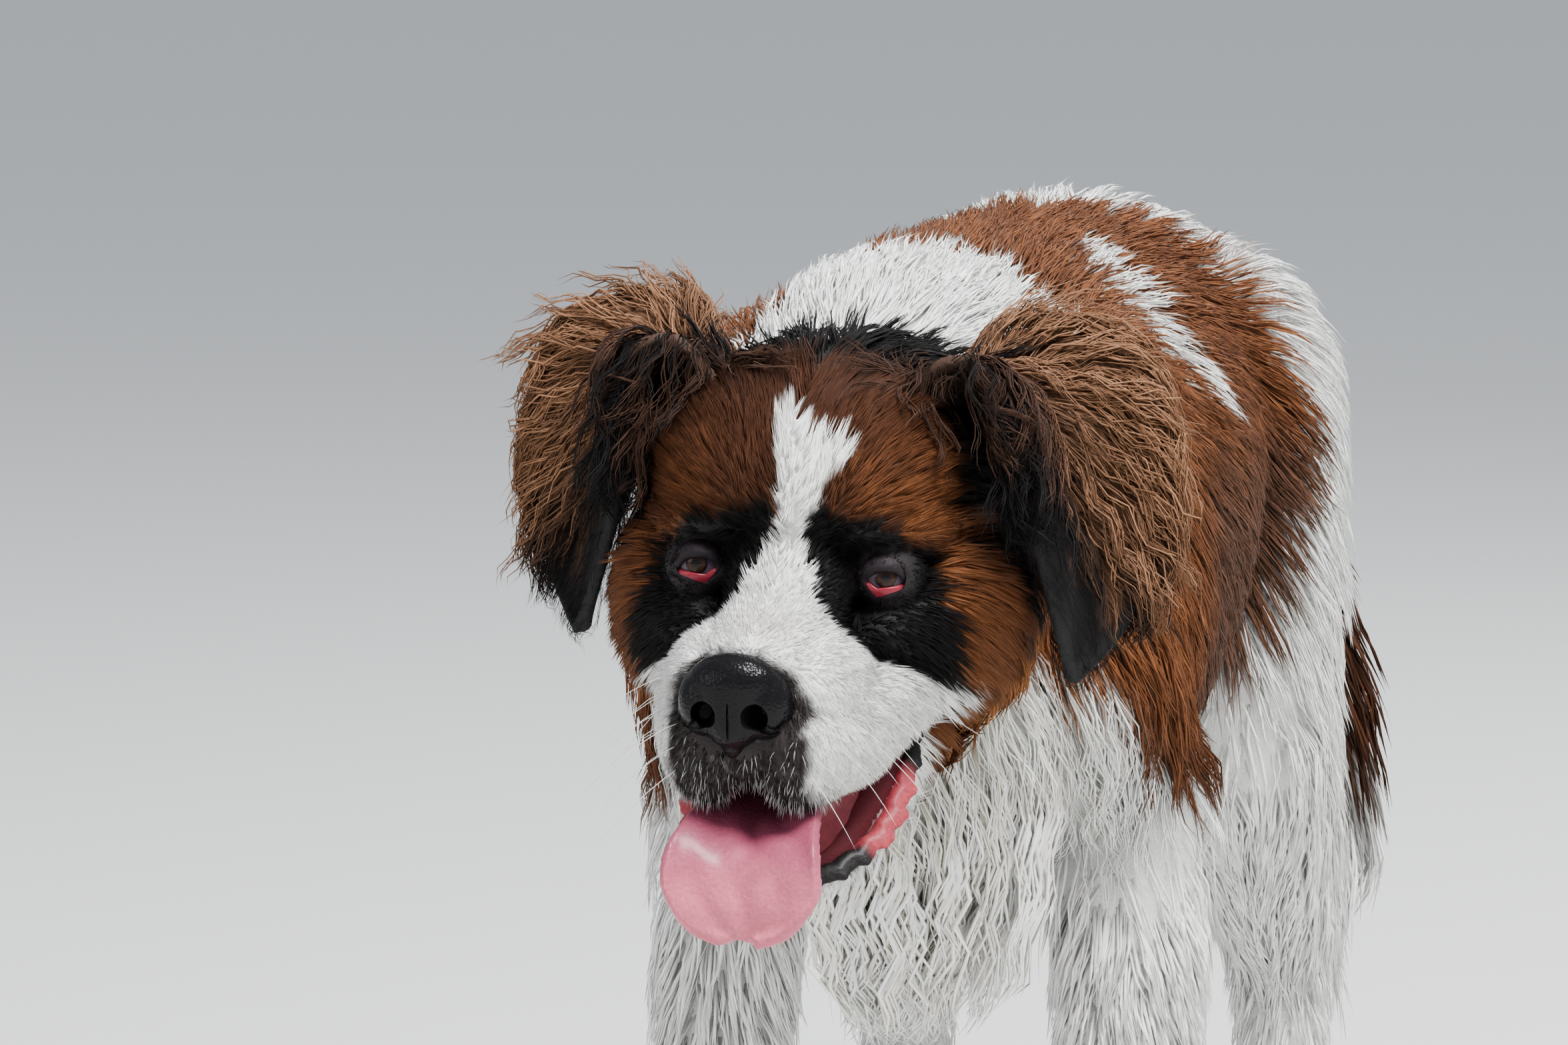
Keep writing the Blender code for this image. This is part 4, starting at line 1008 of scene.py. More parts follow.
def lower_lip(side):
    """The lower lip: its scalloped, pleated edge turned outwards along the jaw."""
    def place(u, v):
        u = (u + 1) / 2
        here, way = along_path(LIP_LINE, v)
        out = Vector((1.0, -0.25 - 0.9 * v, 0.0))
        out = (out - way * out.dot(way)).normalized()
        down = way.cross(out).normalized()
        if down.z > 0:
            down = -down
        pleat = math.sin(v * 58) * 0.0016 + math.sin(v * 131 + 1) * 0.0007
        lips = math.sin(math.pi * min(1.0, v * 1.15)) ** 0.5
        across = -0.018 * (1 - u) ** 1.2 + 0.003 * u
        drop = -0.0100 * math.sin(math.pi * u) * 0.3 + 0.010 * (1 - u) ** 2 + 0.0055 * max(0, u - 0.72) / 0.28
        spot = here + out * (across + pleat * u * u * lips) + down * (drop + pleat * 0.5 * u)
        spot.x *= side if side == 1 else -0.86
        return spot

    obj = melted(thickened(head_grid(10, 96, place), 0.0034), 0.0011, 2)
    h = to_head(vertex_places(obj.data))
    x, y, _ = h.T
    corner = smooth_step(0.004, 0.014, y) * smooth_step(0.054, 0.060, np.abs(x))
    black = np.maximum(smooth_step(-0.034, -0.042, y), corner)
    set_colours(obj.data, painted(np.tile(LIP_RED, (len(h), 1)), black, BLACK * 1.2))
    return smoothed(obj, lettered("lower_lip", side))


CHEEK_TOP = line_through(
    (0.058, 0.036, -0.080), (0.050, 0.000, -0.086), (0.040, -0.034, -0.092), (0.022, -0.060, -0.096)
)


def cheek_lining(side):
    """The inside of the cheek, seen through the open mouth: a dark red sheet with upright folds."""
    def place(u, v):
        along = (u + 1) / 2
        high, _ = along_path(CHEEK_TOP, along)
        low, _ = along_path(LIP_LINE[:6], along)
        low = low + Vector((-0.010, 0.002, -0.002))
        spot = high * (1 - v) + low * v
        bulge = math.sin(math.pi * v)
        spot.x -= 0.008 * bulge + 0.0005 * math.sin(along * 40 + 3 * v) * bulge
        spot.x *= side
        return spot

    return smoothed(thickened(head_grid(40, 24, place), 0.002, -1.0), lettered("cheek_lining", side))


TOOTH_TAPER = 0.18


def tooth(place, wide, tall, lean):
    """One tooth, pointing up, or down where tall is below 0."""
    bpy.ops.mesh.primitive_cone_add(vertices=20, radius1=wide, radius2=wide * TOOTH_TAPER, depth=abs(tall))
    obj = chosen(bpy.context.active_object)
    if tall < 0:
        bpy.ops.transform.rotate(value=math.pi, orient_axis="X", center_override=(0, 0, 0))
    bpy.ops.transform.resize(value=(0.75, 1.25, 1.0), center_override=(0, 0, 0))
    bpy.ops.object.transform_apply(location=False, rotation=True, scale=True)
    for vert in obj.data.vertices:
        bend = lean * (vert.co.z / tall) ** 2 * 0.02
        vert.co = HEAD @ (place + Vector((0, bend, 0)) + vert.co)
    bevel = obj.modifiers.new("round", "BEVEL")
    bevel.width = 0.0012
    bevel.segments = 3
    return apply_all(obj)


def teeth():
    """What the open mouth shows of the teeth: lower canines and cheek teeth."""
    rows = [(0.026, -0.052, -0.150, 0.0046, 0.019, -0.1)]
    rows += [
        (0.036 + 0.004 * i, -0.026 + 0.020 * i, -0.136 + 0.012 * i, 0.0050, 0.010, 0.0)
        for i in range(4)
    ]
    rows += [(0.040 + 0.003 * i, -0.030 + 0.020 * i, -0.094, 0.0052, -0.010, 0.0) for i in range(3)]
    made = [tooth(Vector((side * x, y, z)), *form) for side in (1, -1) for x, y, z, *form in rows]
    return smoothed(joined(made, "teeth"), "teeth")


def finished(obj, *nodes, slot=None):
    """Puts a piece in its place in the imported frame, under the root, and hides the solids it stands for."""
    obj.data.transform(Matrix.Translation(SETTLE))
    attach(obj, "root")
    if nodes:
        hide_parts(*nodes)
    return obj


# The photograph's viewpoint: distance from the nose, height, azimuth, pan and tilt
NOSE_AT = Vector((-0.002, -0.735, 0.549))
VIEW_DISTANCE = 3.6
VIEW_HEIGHT = 1.054
VIEW_AZIMUTH = math.radians(11.9)
VIEW_PAN = math.radians(-0.37)
VIEW_TILT = math.radians(6.49)
VIEW_FOCAL = 157.3


def camera():
    data = bpy.data.cameras.new("camera")
    data.lens = VIEW_FOCAL
    data.sensor_width = 36.0
    data.clip_end = 60.0
    cam = bpy.data.objects.new("camera", data)
    bpy.context.scene.collection.objects.link(cam)
    step = Vector((math.sin(VIEW_AZIMUTH), -math.cos(VIEW_AZIMUTH), 0)) * VIEW_DISTANCE
    place = NOSE_AT + step
    place.z = VIEW_HEIGHT
    turn = VIEW_AZIMUTH + VIEW_PAN
    flat = math.cos(VIEW_TILT)
    ahead = Vector((-math.sin(turn) * flat, math.cos(turn) * flat, -math.sin(VIEW_TILT)))
    cam.location = place + SETTLE
    cam.rotation_euler = ahead.to_track_quat("-Z", "Y").to_euler()
    bpy.context.scene.camera = cam


def lamp(name, place, aim, power, size):
    data = bpy.data.lights.new(name, "AREA")
    data.energy = power
    data.shape = "DISK"
    data.size = size
    obj = bpy.data.objects.new(name, data)
    bpy.context.scene.collection.objects.link(obj)
    obj.location = place
    obj.rotation_euler = (Vector(aim) - Vector(place)).to_track_quat("-Z", "Y").to_euler()


def studio():
    """A pale floor and soft light from above, in front and behind."""
    bpy.ops.mesh.primitive_plane_add(size=160)
    floor = bpy.context.active_object
    floor.name = "floor"
    paint = bpy.data.materials.new("floor_paint")
    paint.use_nodes = True
    shader = paint.node_tree.nodes["Principled BSDF"]
    shader.inputs["Base Color"].default_value = (0.72, 0.72, 0.70, 1)
    shader.inputs["Roughness"].default_value = 0.85
    floor.data.materials.append(paint)
    world = bpy.data.worlds.new("studio")
    world.use_nodes = True
    world.node_tree.nodes["Background"].inputs["Color"].default_value = (0.80, 0.86, 0.95, 1)
    world.node_tree.nodes["Background"].inputs["Strength"].default_value = 0.76
    bpy.context.scene.world = world
    lamp("key", (1.5, -1.9, 4.2), (0, -0.2, 0.5), 600, 1.8)
    lamp("fill", (-3.2, -3.2, 1.6), (0, -0.2, 0.5), 45, 2.4)
    lamp("rim", (1.6, 3.0, 3.2), (0, 0.0, 0.5), 130, 1.6)


def set_colours(mesh, colours):
    """Stores a colour for each vertex, which the materials read."""
    layer = mesh.color_attributes.new("coat_colour", "FLOAT_COLOR", "POINT")
    layer.data.foreach_set("color", np.column_stack([colours, np.ones(len(colours))]).ravel())


def part_index(mesh, index):
    layer = mesh.attributes.new("part", "INT", "FACE")
    layer.data.foreach_set("value", np.full(len(mesh.polygons), index, np.int32))


TAIL_CORE = [((0.045, 0.520, 0.590), 0.040), ((0.098, 0.552, 0.490), 0.042),
             ((0.128, 0.570, 0.370), 0.042), ((0.140, 0.590, 0.265), 0.028)]


def on_tail(points):
    """Whether points of the body lie on the tail, behind the seat."""
    behind = (points - (0.020, 0.492, 0.625)) @ unit(np.array((0.42, 0.80, -0.42))) > 0
    return behind & (distance_to(points, TAIL_CORE) < 0.006)


def whole_skin():
    """Body, head and ears as one closed skin, with the name of its part kept for each face."""
    pieces = [body_skin(), head_skin(), ear_skin(1), ear_skin(-1)]
    for obj, index in zip(pieces, (0, 2, 3, 4)):
        part_index(obj.data, index)
    skin = pieces[0]
    for other in pieces[1:]:
        cut_or_joined(skin, other, "UNION")
    fewer = skin.modifiers.new("fewer", "DECIMATE")
    fewer.ratio = SKIN_SHARE
    skin.name = "skin"
    return apply_all(skin)


class Hide:
    """The skin's surface: its triangles, for scattering roots, and its tree, for following it."""

    def __init__(self, obj):
        mesh = obj.data
        mesh.calc_loop_triangles()
        count = len(mesh.loop_triangles)
        corners = np.empty(count * 3, np.int32)
        mesh.loop_triangles.foreach_get("vertices", corners)
        loops = np.empty(count * 3, np.int32)
        mesh.loop_triangles.foreach_get("loops", loops)
        polygons = np.empty(count, np.int32)
        mesh.loop_triangles.foreach_get("polygon_index", polygons)
        parts = np.empty(len(mesh.polygons), np.int32)
        mesh.attributes["part"].data.foreach_get("value", parts)
        places = vertex_places(mesh)
        self.corners = places[corners.reshape(-1, 3)]
        across = np.cross(self.corners[:, 1] - self.corners[:, 0], self.corners[:, 2] - self.corners[:, 0])
        self.areas = np.linalg.norm(across, axis=1) / 2
        self.normals = unit(across)
        self.centres = self.corners.mean(1)
        self.parts = np.array(SKIN_PARTS)[parts[polygons]]
        self.parts[(self.parts == "body") & on_tail(self.centres)] = "tail"
        spots = np.empty(len(mesh.uv_layers["OFBake"].data) * 2, np.float32)
        mesh.uv_layers["OFBake"].data.foreach_get("uv", spots)
        self.spots = spots.reshape(-1, 2)[loops.reshape(-1, 3)]
        self.tree = BVHTree.FromPolygons(places.tolist(), corners.reshape(-1, 3).tolist())

    def roots(self, chance, rng):
        """Random points, chance giving how many each square metre gets at each triangle."""
        wanted = self.areas * chance
        order = rng.choice(len(wanted), size=int(wanted.sum()), p=wanted / wanted.sum())
        a, b = np.sort(rng.random((2, len(order))), axis=0)
        shares = np.stack([a, b - a, 1 - b], 1)[:, :, None]
        points = (self.corners[order] * shares).sum(1)
        spots = (self.spots[order] * shares).sum(1)
        return points, self.normals[order], spots


# The coat of the body at points of its left side: place, lie, length, lift and wave
BODY_COAT = [
    ((0.00, -0.40, 0.74), (0.05, 1.0, 0.05), 0.062, 0.011, 0.0010),
    ((0.00, -0.27, 0.76), (0.05, 1.0, 0.25), 0.062, 0.015, 0.0010),
    ((0.11, -0.40, 0.61), (0.15, 0.80, -0.50), 0.070, 0.014, 0.0015),
    ((0.00, -0.46, 0.50), (0.10, 0.30, -1.0), 0.085, 0.018, 0.0040),
    ((0.00, -0.40, 0.42), (0.05, 0.15, -1.0), 0.100, 0.019, 0.0055),
    ((0.00, -0.33, 0.36), (0.05, 0.15, -1.0), 0.100, 0.019, 0.0055),
    ((0.09, -0.36, 0.50), (0.25, 0.25, -1.0), 0.085, 0.016, 0.0035),
    ((0.15, -0.22, 0.58), (0.05, 0.55, -0.85), 0.056, 0.011, 0.0012),
    ((0.00, -0.20, 0.78), (0.05, 1.0, 0.30), 0.070, 0.018, 0.0012),
    ((0.00, 0.10, 0.77), (0.10, 1.0, 0.05), 0.062, 0.014, 0.0014),
    ((0.00, 0.38, 0.76), (0.10, 1.0, -0.25), 0.075, 0.016, 0.0012),
    ((0.00, 0.48, 0.60), (0.05, 0.20, -1.0), 0.100, 0.019, 0.0020),
    ((0.17, -0.05, 0.60), (0.00, 0.80, -0.55), 0.058, 0.011, 0.0014),
    ((0.16, 0.15, 0.58), (0.00, 0.75, -0.60), 0.062, 0.014, 0.0014),
    ((0.14, 0.15, 0.72), (0.15, 0.95, -0.30), 0.062, 0.014, 0.0014),
    ((0.12, 0.00, 0.40), (-0.05, 0.55, -0.85), 0.085, 0.016, 0.0030),
    ((0.00, 0.00, 0.34), (0.00, 0.65, -0.80), 0.085, 0.016, 0.0030),
    ((0.00, 0.22, 0.44), (0.00, 0.65, -0.75), 0.080, 0.015, 0.0025),
    ((0.18, 0.30, 0.66), (0.15, 0.70, -0.70), 0.066, 0.016, 0.0012),
    ((0.18, 0.35, 0.50), (0.05, 0.45, -1.0), 0.072, 0.018, 0.0016),
    ((0.13, 0.46, 0.42), (0.05, 0.50, -0.90), 0.100, 0.020, 0.0040),
    ((0.13, 0.46, 0.28), (0.05, 0.50, -0.90), 0.085, 0.019, 0.0045),
    ((0.12, 0.36, 0.28), (0.05, 0.10, -1.0), 0.040, 0.009, 0.0010),
    ((0.12, 0.53, 0.20), (0.00, 0.30, -1.0), 0.050, 0.011, 0.0030),
    ((0.12, 0.46, 0.16), (0.05, -0.05, -1.0), 0.026, 0.005, 0.0005),
    ((0.13, 0.49, 0.09), (0.00, 0.10, -1.0), 0.024, 0.005, 0.0005),
    ((0.14, -0.14, 0.42), (0.10, 0.60, -0.80), 0.080, 0.018, 0.0035),
    ((0.125, -0.14, 0.28), (0.00, 0.45, -0.90), 0.062, 0.014, 0.0025),
    ((0.13, -0.24, 0.32), (0.05, 0.05, -1.0), 0.034, 0.007, 0.0008),
    ((0.125, -0.16, 0.14), (0.00, 0.15, -1.0), 0.032, 0.008, 0.0010),
    ((0.125, -0.25, 0.12), (0.00, -0.05, -1.0), 0.022, 0.004, 0.0004),
    ((0.125, -0.30, 0.035), (0.00, -0.80, -0.50), 0.013, 0.003, 0.0002),
    ((0.125, 0.40, 0.035), (0.00, -0.80, -0.50), 0.013, 0.003, 0.0002),
]
BODY_REACH = 0.075

# The same for the head, in its own frame
HEAD_COAT = [
    ((0.000, -0.070, -0.015), (0.15, 1.0, 0.15), 0.0075, 0.0012, 0.0),
    ((0.000, -0.020, 0.020), (0.15, 0.6, 0.8), 0.0095, 0.0016, 0.0),
    ((0.020, 0.000, 0.065), (0.20, 0.75, 0.6), 0.018, 0.0045, 0.0002),
    ((0.000, 0.060, 0.110), (0.15, 1.0, 0.10), 0.034, 0.0090, 0.0008),
    ((0.000, 0.150, 0.090), (0.10, 1.0, -0.45), 0.050, 0.0160, 0.0012),
    ((0.050, -0.015, 0.035), (0.50, 0.6, 0.5), 0.014, 0.0030, 0.0),
    ((0.060, 0.030, 0.070), (0.55, 0.8, 0.20), 0.020, 0.0045, 0.0003),
    ((0.085, 0.040, 0.030), (0.35, 0.9, -0.20), 0.020, 0.0040, 0.0004),
    ((0.060, -0.015, -0.030), (0.60, 0.6, -0.45), 0.0095, 0.0016, 0.0),
    ((0.066, 0.076, 0.085), (0.75, 0.45, 0.10), 0.060, 0.0150, 0.0012),
    ((0.080, 0.058, 0.068), (0.85, 0.05, 0.00), 0.046, 0.0270, 0.0015),
    ((0.090, 0.070, 0.060), (0.75, 0.40, -0.35), 0.060, 0.0160, 0.0014),
    ((0.104, 0.070, 0.020), (0.60, 0.30, -0.85), 0.054, 0.0190, 0.0016),
    ((0.108, 0.075, -0.030), (0.50, 0.35, -0.90), 0.056, 0.0180, 0.0022),
    ((0.100, 0.040, -0.030), (0.55, 0.6, -0.75), 0.038, 0.0120, 0.0016),
    ((0.100, 0.110, -0.060), (0.40, 0.5, -0.90), 0.062, 0.0180, 0.0030),
    ((0.085, 0.100, -0.100), (0.20, 0.6, -0.95), 0.055, 0.0180, 0.0022),
    ((0.050, -0.050, -0.060), (0.40, 0.8, -0.50), 0.0080, 0.0013, 0.0),
    ((0.050, -0.030, -0.105), (0.25, 0.6, -0.90), 0.0085, 0.0015, 0.0),
    ((0.030, -0.100, -0.080), (0.45, 0.1, -0.90), 0.0065, 0.0014, 0.0),
    ((0.000, -0.105, -0.080), (0.10, 0.0, -1.00), 0.006, 0.0018, 0.0),
    ((0.085, 0.034, -0.080), (0.45, 0.6, -0.80), 0.028, 0.0080, 0.0012),
    ((0.050, 0.070, -0.130), (0.15, 0.7, -0.85), 0.050, 0.0160, 0.0022),
    ((0.000, 0.020, -0.150), (0.05, 0.8, -0.65), 0.035, 0.0100, 0.0012),
    ((0.015, -0.055, -0.180), (0.10, 0.5, -0.90), 0.013, 0.0040, 0.0003),
]
HEAD_REACH = 0.030

# The long hair of the ear: place along its line, lie, length, lift and wave
EAR_COAT = [
    (0.00, (0.55, 0.55, 0.10), 0.066, 0.014, 0.0026),
    (0.25, (0.65, 0.60, -0.40), 0.086, 0.015, 0.0034),
    (0.50, (0.40, 0.40, -0.85), 0.088, 0.015, 0.0038),
    (0.75, (0.20, 0.30, -1.00), 0.060, 0.012, 0.0034),
    (1.00, (0.10, 0.10, -1.00), 0.020, 0.004, 0.0008),
]


def blended(points, guides, reach):
    """Lie, length, lift and wave at the points, nearer guides counting more. Both sides are alike."""
    side = np.where(points[:, :1] < 0, -1.0, 1.0)
    here = np.abs(points * (1, 0, 0)) + points * (0, 1, 1)
    places = np.array([g[0] for g in guides])
    ways = unit(np.array([g[1] for g in guides], float))
    sizes = np.array([g[2:] for g in guides])
    far = ((here[:, None] - places[None]) ** 2).sum(2)
    weight = np.exp(-(far - far.min(1, keepdims=True)) / (2 * reach**2))
    weight /= weight.sum(1, keepdims=True)
    way = weight @ ways
    way[:, :1] *= side
    return unit(way), weight @ sizes


def eye_distance(h):
    """How far points in the head's frame are from the nearer eye."""
    eyes = np.array([eye_place(side) for side in (1, -1)])
    return np.min(np.linalg.norm(h[:, None] - eyes[None], axis=2), axis=1)


def bare(h):
    """Where the head grows no hair: round the eyes, under the nose leather and inside the mouth."""
    x, y, z = h.T
    lip_x, lip_z = lip_at(y)
    roof = -0.090 - 0.10 * np.maximum(-0.06 - y, 0)
    mouth = (np.abs(x) < lip_x - 0.001) & (z > lip_z - 0.003) & (z < roof) & (y < 0.09)
    under_lip = mouth & ((y > -0.060) | (z < -0.112))
    pad = (np.hypot((x + 0.005) / 0.029, (z + 0.056) / 0.024) < 1) & (y < -0.080)
    return (eye_distance(h) < 0.0136) | under_lip | pad


def coat_form(points, part):
    """The lie of the coat and its length, lift and wave at points of one part."""
    if part == "head":
        h = to_head(points)
        way, sizes = blended(h, HEAD_COAT, HEAD_REACH)
        sizes = sizes * (0.30 + 0.70 * smooth_step(0.015, 0.036, eye_distance(h)))[:, None]
        return way @ HEAD_TURN, sizes
    if part == "tail":
        way = np.tile(unit(np.array((0.14, 0.16, -1.0))), (len(points), 1))
        return way, np.tile((0.120, 0.032, 0.0020), (len(points), 1))
    if part.startswith("ear"):
        side = 1 if part == "ear_l" else -1
        u, v = ear_place(points, side)
        table = np.array([(g[0], *g[1], *g[2:]) for g in EAR_COAT])
        columns = np.stack([np.interp(v, table[:, 0], table[:, i]) for i in range(1, 7)], 1)
        way = columns[:, :3] * (side, 1, 1)
        long_hair = long_ear_hair(u, v)
        short = np.array((0.020, 0.0035, 0.0003))
        sizes = short + (columns[:, 3:] - short) * long_hair[:, None]
        down = np.array((0.15 * side, 0.25, -1.0))
        way = way * long_hair[:, None] + down * (1 - long_hair[:, None])
        fall = (smooth_step(0.0, -0.60, u) * smooth_step(0.62, 0.38, v))[:, None]
        way = way * (1 - fall) + np.array((0.15 * side, -0.55, -0.80)) * fall
        sizes = sizes * (1 - fall) + np.array((0.060, 0.014, 0.0036)) * fall
        return unit(way) @ HEAD_TURN, sizes
    return blended(points, BODY_COAT, BODY_REACH)


GUIDE_STEPS = 8

# No tuft reaches further than the solids, apart from a little, nor into the floor
COAT_LOW = np.array(CAD_BOX[0]) - np.array(SETTLE) - (0.006, 0.010, -0.0015)
COAT_HIGH = np.array(CAD_BOX[1]) - np.array(SETTLE) + (0.006, 0.010, 0.006)


def followed(hide, roots, normals, part, rng):
    """The middle line of each lock: it rises from the skin, then follows the lie over it."""
    ways, sizes = coat_form(roots, part)
    lines = np.empty((len(roots), GUIDE_STEPS + 1, 3))
    ups = np.empty_like(lines)
    turn = rng.normal(0, 0.16, len(roots))
    for i in range(len(roots)):
        point, normal = Vector(roots[i]), Vector(normals[i])
        length = sizes[i][0] * rng.uniform(0.85, 1.15)
        lift = sizes[i][1] * rng.uniform(0.7, 1.25)
        guide = Vector(ways[i])
        way = guide - normal * guide.dot(normal)
        if way.length > 1e-6:
            way = Matrix.Rotation(turn[i], 3, normal) @ way.normalized()
        else:
            way = normal.orthogonal()
        step = length / GUIDE_STEPS
        lines[i, 0] = point - normal * 0.002
        ups[i, 0] = normal
        for k in range(1, GUIDE_STEPS + 1):
            ahead = point + way * step
            near, fresh, _, gap = hide.tree.find_nearest(ahead)
            if gap < 0.6 * step and (near - point).dot(way) > 0.5 * step:
                point = near
                normal = (normal + fresh).normalized()
                flat = guide - normal * guide.dot(normal)
                way = way - normal * way.dot(normal) + flat * 0.4
            else:
                point = ahead
                way = way + guide * 0.5
            way = way.normalized() if way.length > 1e-6 else guide.normalized()
            share = k / GUIDE_STEPS
            lines[i, k] = point + normal * lift * share**0.7
            ups[i, k] = normal
    return lines, ups, sizes


def sampled(values, guide, shares):
    """The guides' values at shares of their length: one row of shares for each tuft."""
    at = np.clip(shares, 0, 1) * GUIDE_STEPS
    low = np.minimum(at.astype(int), GUIDE_STEPS - 1)
    part = (at - low)[:, :, None]
    rows = guide[:, None]
    return values[rows, low] * (1 - part) + values[rows, low + 1] * part


def tuft_mesh(name, centres, sides, ups, widths, colours, spots, root_shade=0.50):
    """Tapered three-sided tufts as one mesh: rings along their middle lines and a point at the tip."""
    count, rings = centres.shape[0], centres.shape[1] - 1
    half = sides[:, :-1] * widths[:, :, None] / 2
    rise = ups[:, :-1] * widths[:, :, None] * 0.42
    body = centres[:, :-1]
    corners = np.stack([body - half - rise * 0.35, body + half - rise * 0.35, body + rise], 2)
    verts = np.concatenate([corners.reshape(count, rings * 3, 3), centres[:, -1:]], 1)
    size = rings * 3 + 1
    faces = [(0, 1, 2)]
    for r in range(rings - 1):
        for j in range(3):
            a, b = 3 * r + j, 3 * r + (j + 1) % 3
            faces += [(b, a, a + 3), (b, a + 3, b + 3)]
    tip = rings * 3
    last = 3 * (rings - 1)
    faces += [(last + (j + 1) % 3, last + j, tip) for j in range(3)]
    faces = np.array(faces)
    corners_of = (faces[None] + (np.arange(count) * size)[:, None, None]).reshape(-1)
    mesh = bpy.data.meshes.new(name)
    mesh.vertices.add(count * size)
    mesh.vertices.foreach_set("co", verts.astype(np.float32).ravel())
    mesh.loops.add(len(corners_of))
    mesh.loops.foreach_set("vertex_index", corners_of.astype(np.int32))
    mesh.polygons.add(len(corners_of) // 3)
    mesh.polygons.foreach_set("loop_start", np.arange(0, len(corners_of), 3, dtype=np.int32))
    mesh.update(calc_edges=True)
    mesh.polygons.foreach_set("use_smooth", np.ones(len(mesh.polygons), bool))
    along = np.append(np.repeat(np.arange(rings) / rings, 3), 1.0)
    across = np.append(np.tile((0.0, 1.0, 0.5), rings), 0.5)
    patch = spots[:, None] + np.stack([across, along], 1)[None] * TUFT_PATCH
    uv = mesh.uv_layers.new(name="OFBake")
    uv.data.foreach_set("uv", patch.reshape(-1, 2)[corners_of].astype(np.float32).ravel())
    strand = mesh.uv_layers.new(name="strand")
    shift = np.arange(count)[:, None, None] * np.array((3.7, 1.3))
    place = np.stack([across, along], 1)[None] + shift % 97.0
    strand.data.foreach_set("uv", place.reshape(-1, 2)[corners_of].astype(np.float32).ravel())
    # Painted shade: each tuft is darker at its root, as shade deep in the coat, and lighter towards its tip;
    # pale hair a little less so
    light = np.clip(colours.mean(1) / 0.8, 0, 1)[:, None]
    root = root_shade + (0.88 - root_shade) * light
    shade = root + (TIP_SHADE - 0.12 * light - root) * along[None] ** 0.8
    set_colours(mesh, (colours[:, None] * shade[:, :, None]).reshape(-1, 3))
    obj = bpy.data.objects.new(name, mesh)
    bpy.context.scene.collection.objects.link(obj)
    return obj


TUFT_PATCH = 0.003
# How much lighter than its marking a tuft's tip is painted, against the painted shade at its root
TIP_SHADE = 1.15


def grown(
    name, hide, part, where, tufts, seed, rings, slimness, lock,
    clump=0.75, contrast=1.0, curl=1.0, hang=0.0,
):
    """One coat piece: locks spaced by lock, each tuft drawn to the nearest lock's middle line."""
    rng = np.random.default_rng(seed)
    weight = (hide.parts == part) * where
    if part == "head":
        weight = weight * ~bare(to_head(hide.centres))
    area = (hide.areas * weight).sum()
    chance = weight / area
    guides, guide_normals, _ = hide.roots(chance * min(area / lock**2 * 1.4, tufts / 3), rng)
    lines, ups, forms = followed(hide, guides, guide_normals, part, rng)
    lines[:, :, 2] -= hang * np.linspace(0, 1, lines.shape[1])[None] ** 1.4
    forms[:, 0] += 0.7 * hang
    tree = KDTree(len(guides))
    for i, point in enumerate(guides):
        tree.insert(point, i)
    tree.balance()
    roots, _, spots = hide.roots(chance * tufts, rng)
    guide = np.array([tree.find(point)[1] for point in roots])
    count = len(roots)
    reach = rng.uniform(0.72, 1.08, (count, 1))
    shares = np.linspace(0, 1, rings + 1)[None] * reach
    centres = sampled(lines, guide, shares)
    up = unit(sampled(ups, guide, shares))
    pull = clump * rng.uniform(0.55, 1.0, (count, 1, 1)) * (shares[:, :, None] ** 1.3)
    offset = (roots - lines[guide, 0])[:, None]
    centres = centres + offset * (1 - pull)
    ways = unit(np.gradient(centres, axis=1))
    sides = unit(np.cross(ways, up))
    wave, length = forms[guide, 2] * curl, forms[guide, 0]
    cycles = length / (EAR_WAVE if part.startswith("ear") else WAVE_LENGTH)
    phase = (guide * 2.399)[:, None] + rng.normal(0, 0.3, (count, 1))
    angle = shares * cycles[:, None] * 2 * math.pi + phase
    swing = (wave[:, None] * np.minimum(1, shares * 2.5))[:, :, None]
    centres = centres + sides * swing * np.sin(angle)[:, :, None]
    centres = centres + up * swing * 0.5 * np.cos(angle)[:, :, None]
    centres = centres + sides * (rng.normal(0, 0.04, (count, 1)) * length[:, None] * shares**2)[:, :, None]
    centres = centres + up * (rng.normal(0, 0.02, (count, 1)) * length[:, None] * shares**2)[:, :, None]
    centres = np.clip(centres, COAT_LOW, COAT_HIGH)
    profile = np.interp(np.arange(rings) / rings, [0, 0.35, 0.75, 1], [0.75, 1.0, 0.78, 0.45])
    stray = rng.random((count, 1)) < 0.14
    widths = (length * slimness)[:, None] * profile[None] * rng.uniform(0.7, 1.35, (count, 1))
    widths = widths * np.where(stray, 0.38, 1.0)
    spin = rng.normal(0, 0.5, (count, 1, 1))
    sides, up = sides * np.cos(spin) + up * np.sin(spin), up * np.cos(spin) - sides * np.sin(spin)
    middle = (centres[:, rings // 2] + centres[:, (rings + 1) // 2]) / 2
    colours = markings(middle, part)
    tone = rng.normal(1.0, 0.11 * contrast, (count, 1))
    tone = tone * rng.normal(1.0, 0.17 * contrast, (len(guides), 1))[guide]
    tone = 1 + (tone - 1) * (1 - 0.65 * np.clip(colours.mean(1, keepdims=True) / 0.8, 0, 1))
    colours = np.clip(colours * np.clip(tone, 0.55, 1.5), 0, 0.93)
    # The more contrast, the darker the painted shade at the tufts' roots
    return tuft_mesh(name, centres, sides, up, widths, colours, spots, 0.86 - 0.36 * contrast)


WAVE_LENGTH = 0.046
EAR_WAVE = 0.038


def ear_spread(points, side):
    """Hair all over the ear, most of it on the fold at its root."""
    u, v = ear_place(points, side)
    return 1 + 3.5 * smooth_step(-0.1, -0.6, u) * smooth_step(0.50, 0.30, v)


